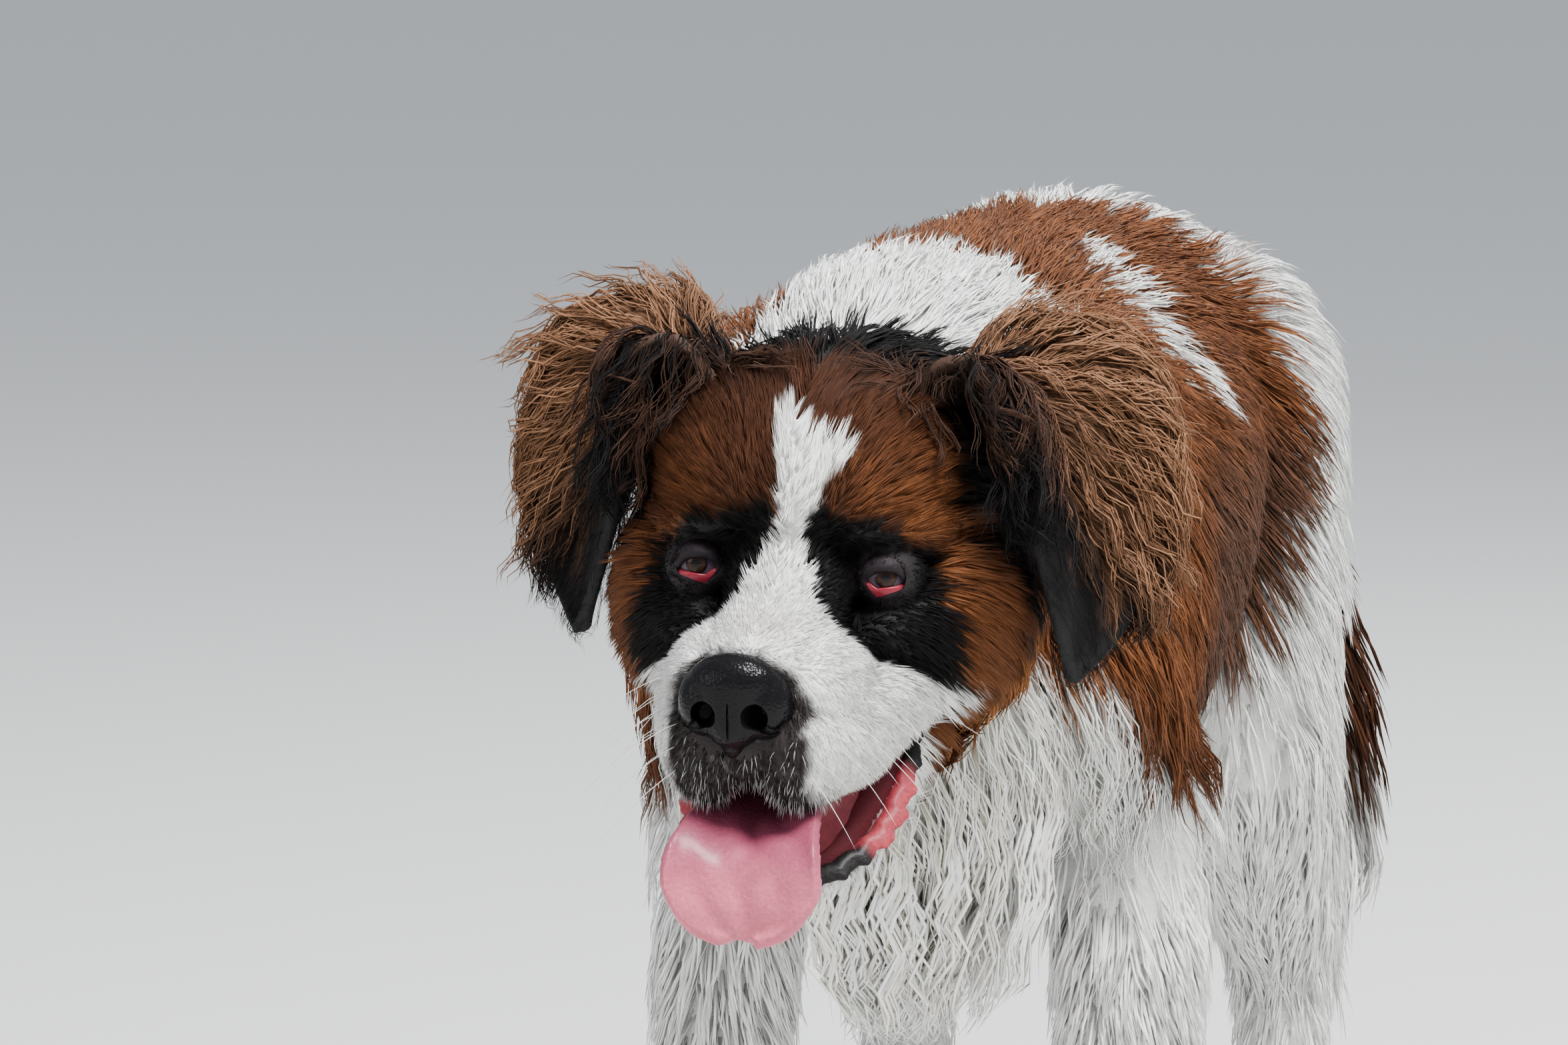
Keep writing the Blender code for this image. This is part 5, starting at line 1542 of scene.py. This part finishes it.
def grain_group():
    """A shared fine grain: even noise at a size, given back as a tone round 1 and as a height."""
    group = bpy.data.node_groups.new("fine_grain", "ShaderNodeTree")
    face = group.interface
    face.new_socket(name="Place", in_out="INPUT", socket_type="NodeSocketVector")
    size = face.new_socket(name="Size", in_out="INPUT", socket_type="NodeSocketFloat")
    size.default_value = 500.0
    depth = face.new_socket(name="Depth", in_out="INPUT", socket_type="NodeSocketFloat")
    depth.default_value = 0.3
    face.new_socket(name="Tone", in_out="OUTPUT", socket_type="NodeSocketFloat")
    face.new_socket(name="Height", in_out="OUTPUT", socket_type="NodeSocketFloat")
    nodes, links = group.nodes, group.links
    come, go = nodes.new("NodeGroupInput"), nodes.new("NodeGroupOutput")
    noise = nodes.new("ShaderNodeTexNoise")
    noise.inputs["Detail"].default_value = 3.0
    links.new(come.outputs["Place"], noise.inputs["Vector"])
    links.new(come.outputs["Size"], noise.inputs["Scale"])
    centre = nodes.new("ShaderNodeMath")
    centre.operation = "SUBTRACT"
    centre.inputs[1].default_value = 0.5
    links.new(noise.outputs["Fac"], centre.inputs[0])
    scaled = nodes.new("ShaderNodeMath")
    scaled.operation = "MULTIPLY_ADD"
    scaled.inputs[2].default_value = 1.0
    links.new(centre.outputs["Value"], scaled.inputs[0])
    links.new(come.outputs["Depth"], scaled.inputs[1])
    links.new(scaled.outputs["Value"], go.inputs["Tone"])
    links.new(noise.outputs["Fac"], go.inputs["Height"])
    return group


def new_finish(name, roughness, specular=0.5):
    material = bpy.data.materials.new(name)
    material.use_nodes = True
    shader = material.node_tree.nodes["Principled BSDF"]
    shader.inputs["Roughness"].default_value = roughness
    shader.inputs["Specular IOR Level"].default_value = specular
    return material, material.node_tree.nodes, material.node_tree.links, shader


def source_colour(nodes, colour=None):
    """The coat's own colour layer, or one even colour."""
    if colour is None:
        layer = nodes.new("ShaderNodeAttribute")
        layer.attribute_name = "coat_colour"
        return layer.outputs["Color"]
    even = nodes.new("ShaderNodeRGB")
    even.outputs[0].default_value = (*colour, 1)
    return even.outputs[0]


def grained(nodes, links, shader, colour, place, size, depth, bump, distance=0.0004):
    """Feeds a shader with a colour made uneven by the shared grain, which also raises it."""
    group = nodes.new("ShaderNodeGroup")
    group.node_tree = bpy.data.node_groups.get("fine_grain") or grain_group()
    group.inputs["Size"].default_value = size
    group.inputs["Depth"].default_value = depth
    links.new(place, group.inputs["Place"])
    mix = nodes.new("ShaderNodeVectorMath")
    mix.operation = "SCALE"
    links.new(colour, mix.inputs[0])
    links.new(group.outputs["Tone"], mix.inputs["Scale"])
    links.new(mix.outputs["Vector"], shader.inputs["Base Color"])
    raised = nodes.new("ShaderNodeBump")
    raised.inputs["Strength"].default_value = bump
    raised.inputs["Distance"].default_value = distance
    links.new(group.outputs["Height"], raised.inputs["Height"])
    links.new(raised.outputs["Normal"], shader.inputs["Normal"])
    return group


def object_place(nodes):
    return nodes.new("ShaderNodeTexCoord").outputs["Object"]


def hair_finish():
    """Hair: the coat's own colour, streaked along each tuft as single hairs are."""
    material, nodes, links, shader = new_finish("coat_hair", 0.66, 0.07)
    strand = nodes.new("ShaderNodeUVMap")
    strand.uv_map = "strand"
    stretch = nodes.new("ShaderNodeMapping")
    stretch.inputs["Scale"].default_value = (5.0, 0.7, 1.0)
    links.new(strand.outputs["UV"], stretch.inputs["Vector"])
    grained(nodes, links, shader, source_colour(nodes), stretch.outputs["Vector"], 1.6, 1.1, 0.6, 0.0006)
    return material


def skin_finish():
    """The short hair close to the skin, between the tufts."""
    material, nodes, links, shader = new_finish("short_hair", 0.7, 0.2)
    grained(nodes, links, shader, source_colour(nodes), object_place(nodes), 900.0, 0.9, 0.7, 0.0008)
    return material


def nose_finish():
    """Wet black leather with fine pebbles."""
    material, nodes, links, shader = new_finish("nose_leather", 0.45, 0.04)
    cells = nodes.new("ShaderNodeTexVoronoi")
    cells.inputs["Scale"].default_value = 620.0
    links.new(object_place(nodes), cells.inputs["Vector"])
    black = source_colour(nodes, (0.0035, 0.0030, 0.0036))
    grained(nodes, links, shader, black, object_place(nodes), 300.0, 0.8, 0.2)
    raised = nodes.new("ShaderNodeBump")
    raised.inputs["Strength"].default_value = 0.55
    raised.inputs["Distance"].default_value = 0.0005
    links.new(cells.outputs["Distance"], raised.inputs["Height"])
    links.new(raised.outputs["Normal"], shader.inputs["Normal"])
    links.new(raised.outputs["Normal"], shader.inputs["Coat Normal"])
    shader.inputs["Coat Weight"].default_value = 0.45
    shader.inputs["Coat IOR"].default_value = 1.28
    shader.inputs["Coat Roughness"].default_value = 0.10
    return material


def wet_finish(name, colour, size, depth, bump, roughness=0.32, coat=0.7, film=0.16):
    """Wet flesh: uneven colour under a clear film."""
    material, nodes, links, shader = new_finish(name, roughness, 0.14)
    flesh = source_colour(nodes, colour)
    grained(nodes, links, shader, flesh, object_place(nodes), size, depth, bump, 0.0007)
    shader.inputs["Coat Weight"].default_value = coat
    shader.inputs["Coat IOR"].default_value = 1.35
    shader.inputs["Coat Roughness"].default_value = film
    shader.inputs["Subsurface Weight"].default_value = 0.12
    shader.inputs["Subsurface Scale"].default_value = 0.004
    return material


def tongue_finish():
    return wet_finish("tongue_skin", None, 420.0, 0.55, 0.8, 0.45, 0.34, 0.26)


def lip_finish():
    return wet_finish("lip_skin", None, 420.0, 0.9, 0.9, 0.55, 0.09)


def lining_finish():
    return wet_finish("cheek_lining", (0.16, 0.018, 0.026), 200.0, 0.9, 0.5)


def haw_finish(name):
    return wet_finish(name, (0.17, 0.012, 0.023), 500.0, 0.6, 0.2, 0.35, 0.30)


def lid_finish():
    material, nodes, links, shader = new_finish("eyelid_skin", 0.6, 0.14)
    dark = source_colour(nodes, (0.011, 0.0075, 0.0095))
    grained(nodes, links, shader, dark, object_place(nodes), 420.0, 1.2, 1.0)
    return material


def tooth_finish():
    material, nodes, links, shader = new_finish("tooth", 0.25)
    ivory = source_colour(nodes, (0.62, 0.52, 0.33))
    grained(nodes, links, shader, ivory, object_place(nodes), 160.0, 0.4, 0.1)
    shader.inputs["Coat Weight"].default_value = 0.5
    return material


def eye_finish(name):
    """Pupil, streaked brown iris, dark rim and bluish white, in rings round the cornea."""
    material, nodes, links, shader = new_finish(name, 0.4, 0.05)
    where = nodes.new("ShaderNodeUVMap")
    where.uv_map = "UVMap"
    split = nodes.new("ShaderNodeSeparateXYZ")
    links.new(where.outputs["UV"], split.inputs["Vector"])
    stretch = nodes.new("ShaderNodeMapping")
    stretch.inputs["Scale"].default_value = (70.0, 12.0, 1.0)
    links.new(where.outputs["UV"], stretch.inputs["Vector"])
    ramp = nodes.new("ShaderNodeValToRGB")
    stops = [
        (0.000, (0.004, 0.003, 0.003)), (0.052, (0.004, 0.003, 0.003)), (0.066, (0.014, 0.005, 0.002)),
        (0.095, (0.024, 0.008, 0.003)), (0.130, (0.012, 0.004, 0.002)), (0.146, (0.005, 0.003, 0.003)),
        (0.162, (0.050, 0.042, 0.060)), (0.230, (0.070, 0.045, 0.060)), (0.300, (0.10, 0.02, 0.02)),
    ]
    while len(ramp.color_ramp.elements) < len(stops):
        ramp.color_ramp.elements.new(0.5)
    for element, (place, colour) in zip(ramp.color_ramp.elements, stops):
        element.position = place
        element.color = (*colour, 1)
    turned = nodes.new("ShaderNodeMath")
    turned.operation = "SUBTRACT"
    turned.inputs[0].default_value = 1.0
    links.new(split.outputs["Y"], turned.inputs[1])
    links.new(turned.outputs["Value"], ramp.inputs["Fac"])
    grained(nodes, links, shader, ramp.outputs["Color"], stretch.outputs["Vector"], 1.0, 0.8, 0.05)
    shader.inputs["Coat Weight"].default_value = 0.8
    shader.inputs["Coat IOR"].default_value = 1.25
    shader.inputs["Coat Roughness"].default_value = 0.02
    return material


EAR_ROOT = np.array((0.080, 0.062, 0.064))


COAT_SHARE = 1.0

# Each piece of the coat: name, slot, part, tufts and the rings of each, their width as a share of their
# length, the space between locks, how tightly these gather, how uneven their tone is and how deep the painted
# shade at their roots, how much more they wave and how far they hang below their lie. A row's place in the
# table seeds its draws
COAT = [
    ("coat_muzzle", "head_coat", "head", 27000, 1, 0.115, 0.0050, 0.35, 0.35),
    ("coat_forehead", "head_coat", "head", 27500, 1, 0.052, 0.0060, 0.4, 0.6),
    ("coat_crown", "head_coat", "head", 5200, 4, 0.021, 0.010, 0.7, 0.9),
    ("coat_cheeks", "head_coat", "head", 4600, 3, 0.030, 0.010, 0.7, 0.8),
    ("coat_ear_l", "ear_l_coat", "ear_l", 4100, 7, 0.0135, 0.011, 0.85, 1.2),
    ("coat_ear_r", "ear_r_coat", "ear_r", 3700, 7, 0.0135, 0.011, 0.85, 1.2),
    ("coat_neck", "neck_coat", "body", 5700, 3, 0.022, 0.014, 0.6, 0.8),
    ("coat_chest", "torso_coat", "body", 3000, 5, 0.017, 0.014, 0.85),
    ("coat_back", "torso_coat", "body", 6900, 3, 0.021, 0.013, 0.6, 0.8),
    ("coat_side_l", "torso_coat", "body", 6100, 3, 0.022, 0.013, 0.6, 0.8),
    ("coat_haunch_l", "torso_coat", "body", 4200, 3, 0.023, 0.014, 0.6, 0.8),
    ("coat_side_r", "torso_coat", "body", 3200, 3, 0.022, 0.013, 0.6, 0.8),
    ("coat_haunch_r", "torso_coat", "body", 2800, 3, 0.023, 0.014, 0.6, 0.8),
    ("coat_belly", "torso_coat", "body", 1400, 3, 0.034, 0.018),
    ("coat_forelegs", "foreleg_l_coat", "body", 6500, 2, 0.048, 0.010, 0.6, 0.7),
    ("coat_hindlegs", "hindleg_l_coat", "body", 5000, 2, 0.048, 0.010, 0.6, 0.7),
    ("coat_paws", "foreleg_l_coat", "body", 8000, 1, 0.10, 0.007, 0.4, 0.4),
    ("coat_tail", "tail_coat", "tail", 2000, 4, 0.024, 0.016),
    ("coat_curls", "torso_coat", "body", 640, 8, 0.020, 0.022, 0.92, 0.8, 1.3, 0.070),
]


def head_regions(points):
    """Where each piece of the head's coat grows, that of the crown thicker round the ears' roots."""
    h = to_head(points)
    _, y, z = h.T
    muzzle = (z < 0.012) & (y < 0.030)
    forehead = ~muzzle & (y < 0.055)
    behind = (y >= 0.030 + 0.025 * (z >= 0.012)) & ~forehead
    crown = behind & (z > 0.010)
    from_root = h * np.where(points[:, :1] < 0, (-1, 1, 1), 1) - EAR_ROOT
    thicker = 1 + 5 * np.exp(-(from_root**2).sum(1) / 0.024**2)
    cheeks = behind & ~crown
    crown = crown * thicker
    return {"coat_muzzle": muzzle, "coat_forehead": forehead, "coat_crown": crown, "coat_cheeks": cheeks}


def body_regions(points):
    """Where each piece of the body's coat grows."""
    x, y, z = points.T
    neck = (y < -0.28) & (z > 0.52)
    chest = (y < -0.24) & (z <= 0.52) & (z > 0.34)
    back = (y >= -0.28) & (z > 0.665) & (y < 0.30)
    legs = (z < 0.36) & ((y < -0.02) | (y > 0.24)) & (np.abs(x) > 0.055)
    belly = (z < 0.44) & (np.abs(y) < 0.30) & ~chest & ~legs
    rest = ~(neck | chest | back | belly | legs)
    paws = z < 0.075
    found = {"coat_neck": neck, "coat_chest": chest, "coat_back": back, "coat_belly": belly}
    found["coat_paws"] = paws
    found["coat_forelegs"] = legs & ~paws & (y < 0.1)
    found["coat_hindlegs"] = legs & ~paws & (y > 0.1)
    found["coat_curls"] = chest & (np.abs(x - 0.03) < 0.085) & (y < -0.30) & (z < 0.46)
    for side in (1, -1):
        flank = rest & (x * side > 0)
        found[lettered("coat_side", side)] = flank & (y < 0.26)
        found[lettered("coat_haunch", side)] = flank & (y >= 0.26)
    return found


def build_coat(hide):
    """Every piece of the coat with its slot, each under the limit for one piece."""
    where = head_regions(hide.centres) | body_regions(hide.centres)
    where["coat_tail"] = np.ones(len(hide.centres), bool)
    for side in (1, -1):
        where[lettered("coat_ear", side)] = ear_spread(hide.centres, side)
    coat = []
    for seed, (name, slot, part, tufts, *form) in enumerate(COAT, 1):
        count = int(tufts * COAT_SHARE)
        coat.append((grown(name, hide, part, where[name], count, seed, *form), slot))
    return coat


def drawn_hairs(name, hide, roots, ways, lengths, widths, colours, droop, rings=6, snap=True):
    """Single hairs, each bending down towards its tip, their roots drawn to the skin where snap says so."""
    count = len(roots)
    at, ups, spots = np.empty((count, 3)), np.empty((count, 3)), np.empty((count, 2))
    for i, root in enumerate(roots):
        near, normal, face, _ = hide.tree.find_nearest(root)
        at[i], ups[i], spots[i] = near if snap else root, normal, hide.spots[face].mean(0)
    shares = np.linspace(0, 1, rings + 1)[None, :, None]
    centres = at[:, None] + ways[:, None] * (shares * lengths[:, None, None])
    centres = centres - np.array((0, 0, 1)) * droop * lengths[:, None, None] * shares**2
    centres[:, 0] -= ups * 0.002
    along = unit(np.gradient(centres, axis=1))
    up = unit(np.repeat(ups[:, None], rings + 1, 1))
    sides = unit(np.cross(along, up))
    up = np.cross(sides, along)
    profile = np.interp(np.arange(rings) / rings, [0, 0.5, 1], [1.0, 0.8, 0.3])
    return tuft_mesh(name, centres, sides, up, widths[:, None] * profile[None], colours, spots, 1.0)


def whiskers(hide):
    """Long pale whiskers on the flews, in rows, with a few on the chin."""
    rng = np.random.default_rng(71)
    roots, ways, lengths = [], [], []
    for side in (1, -1):
        for row in range(3):
            for column in range(4):
                low = -0.066 - 0.011 * row + 0.004 * column
                spot = (0.034 + 0.009 * column, -0.094 + 0.021 * column, low)
                spot = np.array(spot) + rng.normal(0, 0.0012, 3)
                roots.append(HEAD @ Vector(spot * (side, 1, 1)))
                way = np.array((0.80, -0.30 + 0.14 * column, -0.35 - 0.12 * row)) + rng.normal(0, 0.10, 3)
                ways.append(unit(way * (side, 1, 1)) @ HEAD_TURN)
                lengths.append(rng.uniform(0.028, 0.058) + 0.004 * column)
        for spot in ((0.012, -0.052, -0.176), (0.018, -0.046, -0.172)):
            roots.append(HEAD @ Vector(np.array(spot) * (side, 1, 1)))
            ways.append(unit(np.array((0.35 * side, -0.8, -0.6))) @ HEAD_TURN)
            lengths.append(rng.uniform(0.022, 0.034))
    count = len(roots)
    colours = np.tile(np.array((0.80, 0.79, 0.76)), (count, 1))
    ways, lengths, widths = np.array(ways), np.array(lengths), np.full(count, 0.00055)
    return drawn_hairs("whiskers", hide, roots, ways, lengths, widths, colours, 0.22)


def bristles(hide):
    """Short pale bristles in the dark hair of the upper lip."""
    rng = np.random.default_rng(72)
    h = to_head(hide.centres)
    x, y, z = h.T
    lip = (hide.parts == "head") & (np.abs(x) < 0.046) & (z < -0.066) & (z > -0.118) & (y < -0.068) & ~bare(h)
    lower = 0.25 + smooth_step(-0.085, -0.105, z)
    roots, normals, _ = hide.roots(lip * lower / (hide.areas * lip * lower).sum() * 620, rng)
    down = np.array((0, 0, -1.0))
    ways = unit(normals * 0.55 + down * 0.75 + rng.normal(0, 0.20, normals.shape))
    lengths = rng.uniform(0.004, 0.009, len(roots))
    grey = rng.uniform(0.10, 0.60, (len(roots), 1)) * np.array((1.0, 0.98, 0.95))
    widths = rng.uniform(0.0003, 0.0005, len(roots))
    return drawn_hairs("lip_bristles", hide, [Vector(r) for r in roots], ways, lengths, widths, grey, 0.15, 3)


# How high over the ball the lid's hairs grow at distances out from the opening
LID_RISE = [(0.0, 0.0018), (0.0022, 0.0030), (0.0060, 0.0024), (0.0105, -0.0006)]


def lid_hair(hide):
    """Short black hair on the lids, pointing away from the opening."""
    rng = np.random.default_rng(73)
    roots, ways, lengths = [], [], []
    for side in (1, -1):
        for _ in range(1700):
            x, y = lid_edge(side, rng.random())
            way = out_of_eye(x, y)
            out = rng.uniform(0.0022, 0.0125)
            far = out + 0.004
            rise = EYE_BALL_R + float(at_points(out, LID_RISE))
            here = on_eye(side, x + way.x * out, y + way.y * out, rise - 0.0002)
            there = on_eye(side, x + way.x * far, y + way.y * far, rise + 0.0010)
            roots.append(HEAD @ here)
            ways.append(unit(np.array(there - here) + rng.normal(0, 0.0007, 3)) @ HEAD_TURN)
            lengths.append(rng.uniform(0.0035, 0.0065) * (0.6 + 25 * out))
    count = len(roots)
    colours = np.tile(SOOT * 0.55, (count, 1)) * rng.uniform(0.5, 1.6, (count, 1))
    widths = rng.uniform(0.00045, 0.0008, count)
    ways, lengths = np.array(ways), np.array(lengths)
    return drawn_hairs("lid_hair", hide, roots, ways, lengths, widths, colours, 0.1, 2, False)


def claws():
    """A blunt, curved claw at the end of each toe."""
    chains = []
    for side in (1, -1):
        for x, y, size in feet_of(side):
            for across, reach in TOES:
                tip = y - reach * size - 0.010
                place = x + across * TOE_SPREAD * size
                root = ball(place, tip, 0.0165, 0.0042, 0.0060, 0.0050)
                middle = ball(place, tip - 0.0085, 0.0130, 0.0033, 0.0040, 0.0040)
                end = ball(place, tip - 0.0135, 0.0085, 0.0016, 0.0018, 0.0020)
                chains.append(sided([root, middle, end], side))
    return melted(massed(chains, 0.0, "claws", detail=3), 0.0009, 3)


def horn_finish():
    material, nodes, links, shader = new_finish("claw_horn", 0.35)
    brown = source_colour(nodes, (0.055, 0.042, 0.035))
    grained(nodes, links, shader, brown, object_place(nodes), 240.0, 0.9, 0.3)
    return material


def paint_skin(skin, hide):
    """Gives the skin the coat's markings, a little darker as painted shade deep between the hairs."""
    mesh = skin.data
    places = vertex_places(mesh)
    part_of = np.empty(len(mesh.vertices), dtype=hide.parts.dtype)
    mesh.calc_loop_triangles()
    corners = np.empty(len(mesh.loop_triangles) * 3, np.int32)
    mesh.loop_triangles.foreach_get("vertices", corners)
    part_of[corners] = np.repeat(hide.parts, 3)
    colours = np.zeros((len(places), 3))
    for part in SKIN_PARTS:
        here = part_of == part
        colours[here] = markings(places[here], part)
    here = part_of == "head"
    colours[here] = bare_colours(places[here], colours[here])
    # Painted shade: the skin is a fifth darker than the coat, as the shade between the tufts
    set_colours(mesh, colours * 0.8)


def unwrapped(obj):
    """A flat unwrap of the skin's own shape, on which each tuft finds its root's place."""
    chosen(obj)
    obj.data.uv_layers.new(name="OFBake")
    bpy.ops.object.mode_set(mode="EDIT")
    bpy.ops.mesh.select_all(action="SELECT")
    bpy.ops.uv.smart_project(angle_limit=math.radians(66), island_margin=0.002)
    bpy.ops.object.mode_set(mode="OBJECT")


def face():
    """The bare parts of the head, each with its finish."""
    rims, linings, lips = lid_finish(), lining_finish(), lip_finish()
    for side in (1, -1):
        letter = "l" if side == 1 else "r"
        dressed(eyeball(side), eye_finish("eye_" + letter), "eye_" + letter + "_amber", "eye_" + letter)
        dressed(eyelids(side), rims, "nose_leather")
        dressed(haw(side), haw_finish("haw_" + letter), "tongue_flesh")
        dressed(lower_lip(side), lips, "tongue_flesh")
        dressed(cheek_lining(side), linings, "tongue_flesh")
    dressed(nose_pad(), nose_finish(), "nose_leather", "nose")
    dressed(tongue(), tongue_finish(), "tongue_flesh", "tongue")
    dressed(teeth(), tooth_finish(), "eye_l_amber")


def dressed(obj, finish, slot, *nodes):
    """Gives a piece its finish, puts it in place and hides the solids it stands for. The slot is not used."""
    obj.data.materials.clear()
    obj.data.materials.append(finish)
    finished(obj, *nodes, slot=slot)


def main():
    camera()
    studio()
    face()
    skin = whole_skin()
    unwrapped(skin)
    hide = Hide(skin)
    paint_skin(skin, hide)
    bpy.ops.object.select_all(action="DESELECT")
    skin.data.polygons.foreach_set("use_smooth", np.ones(len(skin.data.polygons), bool))
    skin.data.materials.clear()
    skin.data.materials.append(skin_finish())
    hair = hair_finish()
    coat = build_coat(hide)
    coat += [(made(hide), "head_coat") for made in (whiskers, bristles, lid_hair)]
    for obj, slot in coat:
        dressed(obj, hair, slot)
    dressed(claws(), horn_finish(), "nose_leather")
    flesh = ["torso", "neck", "head", "lower_jaw", "ear_l", "ear_r", "tail"]
    flesh += ["foreleg_l", "foreleg_r", "hindleg_l", "hindleg_r"]
    finished(skin, *flesh, slot="torso_coat")


main()
